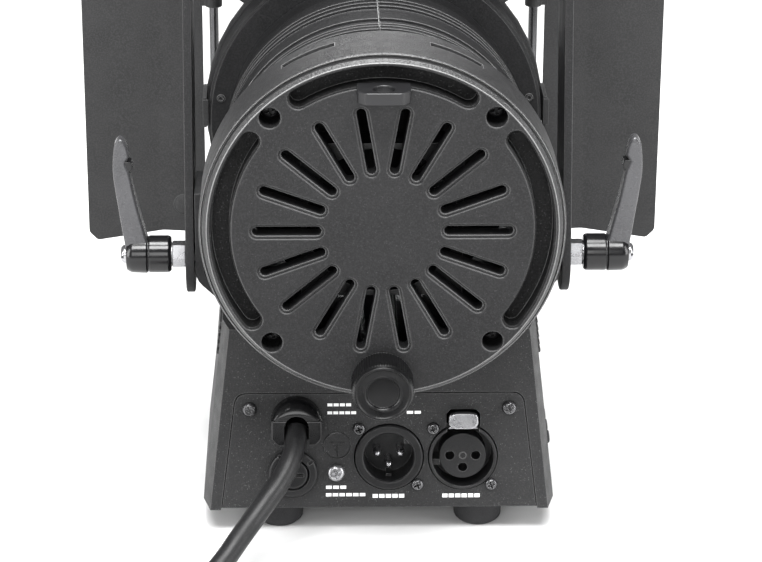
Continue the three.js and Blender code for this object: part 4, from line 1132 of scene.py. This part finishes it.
def panel_screws():
    for side, name in SIDES:
        piece(f"panel_screw_head_{name}", recess_screw(2.45, 1.4, (side * 42, 7.7), 0.1), PANEL,
              "screw_black", BLACK_STEEL, f"panel_screw_{name}")
    earth = recess_screw(3.0, 1.8, EARTH, 0.1)
    piece("earth_screw_head", earth, PANEL, "zinc", ZINC, "earth_screw")
    small = []
    for x, z in (DMX_IN, DMX_OUT):
        small.append(recess_screw(2.1, 1.2, (x + 9.7, z + 9.7), 0.1))
        small.append(recess_screw(2.1, 1.2, (x - 9.3, z - 9.5), 0.1))
    piece("connector_screws", join(*small), PANEL, "screw_black", BLACK_STEEL)


def dmx_in():
    x, z = DMX_IN
    body = spun([(0, -18), (XLR_R, -18), (XLR_R, 0.5, 0.4), (10.6, 1.0, 0.4), (8.6, 0.8, 0.4), (8.1, 0.2),
                 (7.9, -9), (0, -9)], 0.15, at=(x, 0, z), steps=96)
    key = block(x - 6.6, x - 4.9, -8, 0.1, z + 4.6, z + 6.3, 0.2)
    tab = block(x - 0.9, x + 0.9, -9.2, -3.5, z - 7.9, z - 6.9, 0.15)
    piece("dmx_in_shell", join(body, key, tab), PANEL, "nylon_black", SATIN_NYLON, "dmx_in_socket")
    pins = [spun([(0, -9.2), (1.25, -9.2), (1.25, -2.4, 0.9), (0, -1.4)], 0.2, at=(x + px, 0, z + pz),
                 steps=24) for px, pz in ((3.8, 0.4), (-3.8, 0.4), (0, -3.4))]
    piece("dmx_in_pins", join(*pins), PANEL, "zinc", ZINC)


def dmx_out():
    x, z = DMX_OUT
    shell = spun([(0, -18), (XLR_R, -18), (XLR_R, 0.6, 0.4), (10.6, 0.9, 0.3), (9.9, 0.5, 0.3), (9.8, -8),
                  (0, -8)], 0.15, at=(x, 0, z), steps=96)
    shell = cut(shell, block(x - 5.2, x + 5.2, -4.6, 3, z + 8.6, z + 14, 0))
    holes = [round_loop(x + px, z + pz, 1.5, 24) for px, pz in ((4.2, 0.2), (-4.2, 0.2), (0, -3.8))]
    insert = plate([round_loop(x, z, 7.7, 72)] + holes, -8.2, -0.5, 0.5, hole_bevel=0.15, steps=3)
    spring = block(x + 7.3, x + 9.6, -7.5, -1.2, z - 3.2, z - 1.2, 0.3)
    mark = tube([(u, -0.48, v) for u, v in round_loop(x, z + 0.2, 1.1, 24)], 0.12, closed=True, sides=6)
    piece("dmx_out_shell", join(shell, insert, spring, mark), PANEL, "nylon_black", SATIN_NYLON,
          "dmx_out_socket")
    outline = soft([(x - 3.1, 10.2 + z), (x + 3.1, 10.2 + z), (x + 4.9, 11.6 + z, 1.8),
                    (x + 4.6, 15.2 + z, 2.6), (x + 2, 15.7 + z, 1.6), (x - 2, 15.7 + z, 1.6),
                    (x - 4.6, 15.2 + z, 2.6), (x - 4.9, 11.6 + z, 1.8)], 0.8)
    pad = plate([outline], 0.7, 3, 0.5, steps=3)
    wings = plate([soft([(x - 5, 9.8 + z), (x + 5, 9.8 + z), (x + 3, 11.2 + z), (x - 3, 11.2 + z)], 0.3)],
                  -0.6, 1.0, 0.15)
    stem = block(x - 2.6, x + 2.6, -3, 1.2, z + 10.4, z + 12.2, 0.2)
    piece("release_latch", join(pad, wings, stem), PANEL, "zinc", ZINC, "dmx_latch", body="dmx_latch")


def fuse():
    x, z = FUSE
    ring = lathe(soft([(5.15, -15), (5.9, -15), (5.9, 0.3), (8.1, 0.3), (8.1, 1.1, 0.3), (7.4, 1.8, 0.3),
                       (5.6, 1.9), (5.15, 1.4)], 0.15), at=(x, 0, z), steps=72)
    notches = [moved(block(-0.5, 0.5, 1.3, 3, 6.1, 8.6, 0), shift(x, 0, z) @ turned(a, "Y"))
               for a in (35 * DEG, 125 * DEG, 215 * DEG, 305 * DEG)]
    piece("fuse_collar", cut(ring, *notches), PANEL, "nylon_black", SATIN_NYLON, "fuse_holder")
    cap = spun([(0, -14.5), (4.85, -14.5), (4.85, 2.0, 0.4), (4.2, 2.3, 0.3), (0, 2.2)], 0.2, at=(x, 0, z),
               steps=64)
    cap = cut(cap, block(x - 3.5, x + 3.5, 1.2, 4, z - 0.6, z + 0.6, 0))
    piece("fuse_cap_top", cap, PANEL, "nylon_black", SATIN_NYLON, "fuse_cap", body="fuse_cap")


def cable_gland():
    """A hooded strain relief, open to the front and below where the cord bends out."""
    x, z = GLAND
    levels = [(0.3, 1.0), (3.2, 1.0)]
    levels += [(3.2 + 4.2 * sin(k * 13 * DEG), 0.28 + 0.72 * cos(k * 13 * DEG)) for k in range(1, 7)]
    bm = bmesh.new()
    rings = []
    for y, rise in levels:
        ring = [(8.2 * cos(a), 8.2 * sin(a) * rise) for a in (k * pi / 24 for k in range(25))]
        ring += [(-8.0, -1.2), (-8.0, -3.8), (-5.8, -6), (5.8, -6), (8.0, -3.8), (8.0, -1.2)]
        rings.append([bm.verts.new((x + px, y, z + pz)) for px, pz in ring])
    settled(skin(bm, rings))
    throat = [(4.0 * cos(a), -0.5 + 4.0 * sin(a)) for a in (k * pi / 16 for k in range(17))]
    throat = [(x + px, z + pz) for px, pz in throat + [(-4, -12), (4, -12)]]
    bm = cut(bm, plate([throat], 1.8, 14, 0.01))
    bm = softened(bm, 0.4, 3, 40)
    front = soft([(-8.15, -4.2), (-6.2, -6.4), (6.2, -6.4), (8.15, -4.2), (8.15, 2.2), (-8.15, 2.2)], 0.5)
    front = plate([[(x + px, z + pz) for px, pz in front]], 0.3, 7.6, 0.6, steps=3)
    front = cut(front, plate([throat], 1.8, 14, 0.01))
    neck = spun([(0, -8), (4.9, -8), (4.9, 0.4), (0, 0.4)], 0.2, at=(x, 0, z), steps=40)
    return piece("gland_hood", join(bm, front, neck), PANEL, "nylon_black", GLOSS, "cable_gland")


rear_panel()
earth_mark()
printed_bars()
panel_screws()
dmx_in()
dmx_out()
fuse()
gland = cable_gland()

# ---- display and buttons


def controls():
    window = plate([box_loop(-16, 16, -12, 2, 1.2)], -1.3, 0.1, 0.25, axis="x")
    piece("display_window", window, CONTROLS, "display_black", SCREEN, "control_window")
    digits = []
    for k in range(4):
        y = -8.4 + k * 5.6
        for low, high in ((-8.2, -5.2), (-4.8, -1.8)):
            digits += [block(0.08, 0.14, y - 1.7, y - 1.35, low, high, 0), block(0.08, 0.14, y + 1.35,
                                                                                 y + 1.7, low, high, 0)]
        digits += [block(0.08, 0.14, y - 1.2, y + 1.2, level - 0.18, level + 0.18, 0)
                   for level in (-8.4, -5, -1.6)]
    piece("display_segments", join(*digits), CONTROLS, "display_black", SATIN_NYLON)
    for number, at in enumerate(BUTTONS, 1):
        cap = spun([(0, -3.6), (2.3, -3.6), (2.3, 0.9, 0.4), (1.5, 1.35, 0.5), (0, 1.2)], 0.2, axis="x",
                   at=at, steps=48)
        piece(f"button_cap_{number}", cap, CONTROLS, "rubber_black", RUBBER, f"button_{number}",
              body=f"button_{number}")


controls()

# ---- CAD nodes that keep their shape

KEPT = [
    (SHEET, ("bottom_plate", "lens_retainer")),
    (BLACK_STEEL, ("hinge_pin_left", "hinge_pin_right", "hinge_pin_top", "hinge_pin_bottom")),
    (ALUMINIUM, ("zoom_spindle", "guide_rod_left", "guide_rod_right")),
    # The LED carriage is made black: painted shade for the inside of the lamp seen through the slots.
    (BLACK_ANODISED_AND_SHADE, ("led_carriage",)),
    (SATIN_NYLON, ("fan_frame", "fan_rotor")),
    (BOARD, ("power_board",)),
]
for material, name in [(material, name) for material, names in KEPT for name in names]:
    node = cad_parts[name]
    node.data.materials.clear()
    node.data.materials.append(material)
    weld = node.modifiers.new("weld", "WELD")
    weld.merge_threshold = 1e-6
    tidy = node.modifiers.new("tidy", "DECIMATE")
    tidy.decimate_type = "DISSOLVE"
    tidy.angle_limit = 0.5 * DEG
    bevel = node.modifiers.new("edges", "BEVEL")
    bevel.width = 0.2 * MM
    bevel.segments = 2
    bevel.limit_method = "ANGLE"
    bevel.angle_limit = 40 * DEG

# ---- stage

floor_shape = bmesh.new()
bmesh.ops.create_grid(floor_shape, x_segments=1, y_segments=1, size=6)
floor = put("floor", as_mesh(floor_shape))
floor.data.materials.append(paint("floor_white", (0.76, 0.76, 0.76), 0.9, mottle=0.01, specular=0.0))

world = bpy.data.worlds.new("studio")
world.use_nodes = True
world.node_tree.nodes["Background"].inputs["Color"].default_value = (1, 1, 1, 1)
world.node_tree.nodes["Background"].inputs["Strength"].default_value = 0.3
bpy.context.scene.world = world
bpy.context.scene.view_settings.view_transform = "Standard"


def soft_light(name, at, aim, size, power):
    data = bpy.data.lights.new(name, "AREA")
    data.shape = "RECTANGLE"
    data.size, data.size_y = size
    data.energy = power
    put(name, data).matrix_world = facing(at, aim)


soft_light("top_light", (0, 0.6, 1.15), (0, 0.02, 0.1), (0.9, 0.4), 27)
soft_light("overhead", (0, 0.05, 1.3), (0, 0.02, 0.1), (0.4, 0.4), 15)
soft_light("front_fill", (0.2, 1.7, 0.7), (0, 0, 0.1), (1.0, 0.6), 11)
soft_light("far_fill", (0, -1.6, 0.8), (0, 0, 0.1), (0.9, 0.6), 8)
soft_light("left_light", (1.1, 0.55, 0.45), (0, 0, 0.1), (0.3, 0.9), 9)
soft_light("right_light", (-1.1, 0.55, 0.45), (0, 0, 0.1), (0.3, 0.9), 9)
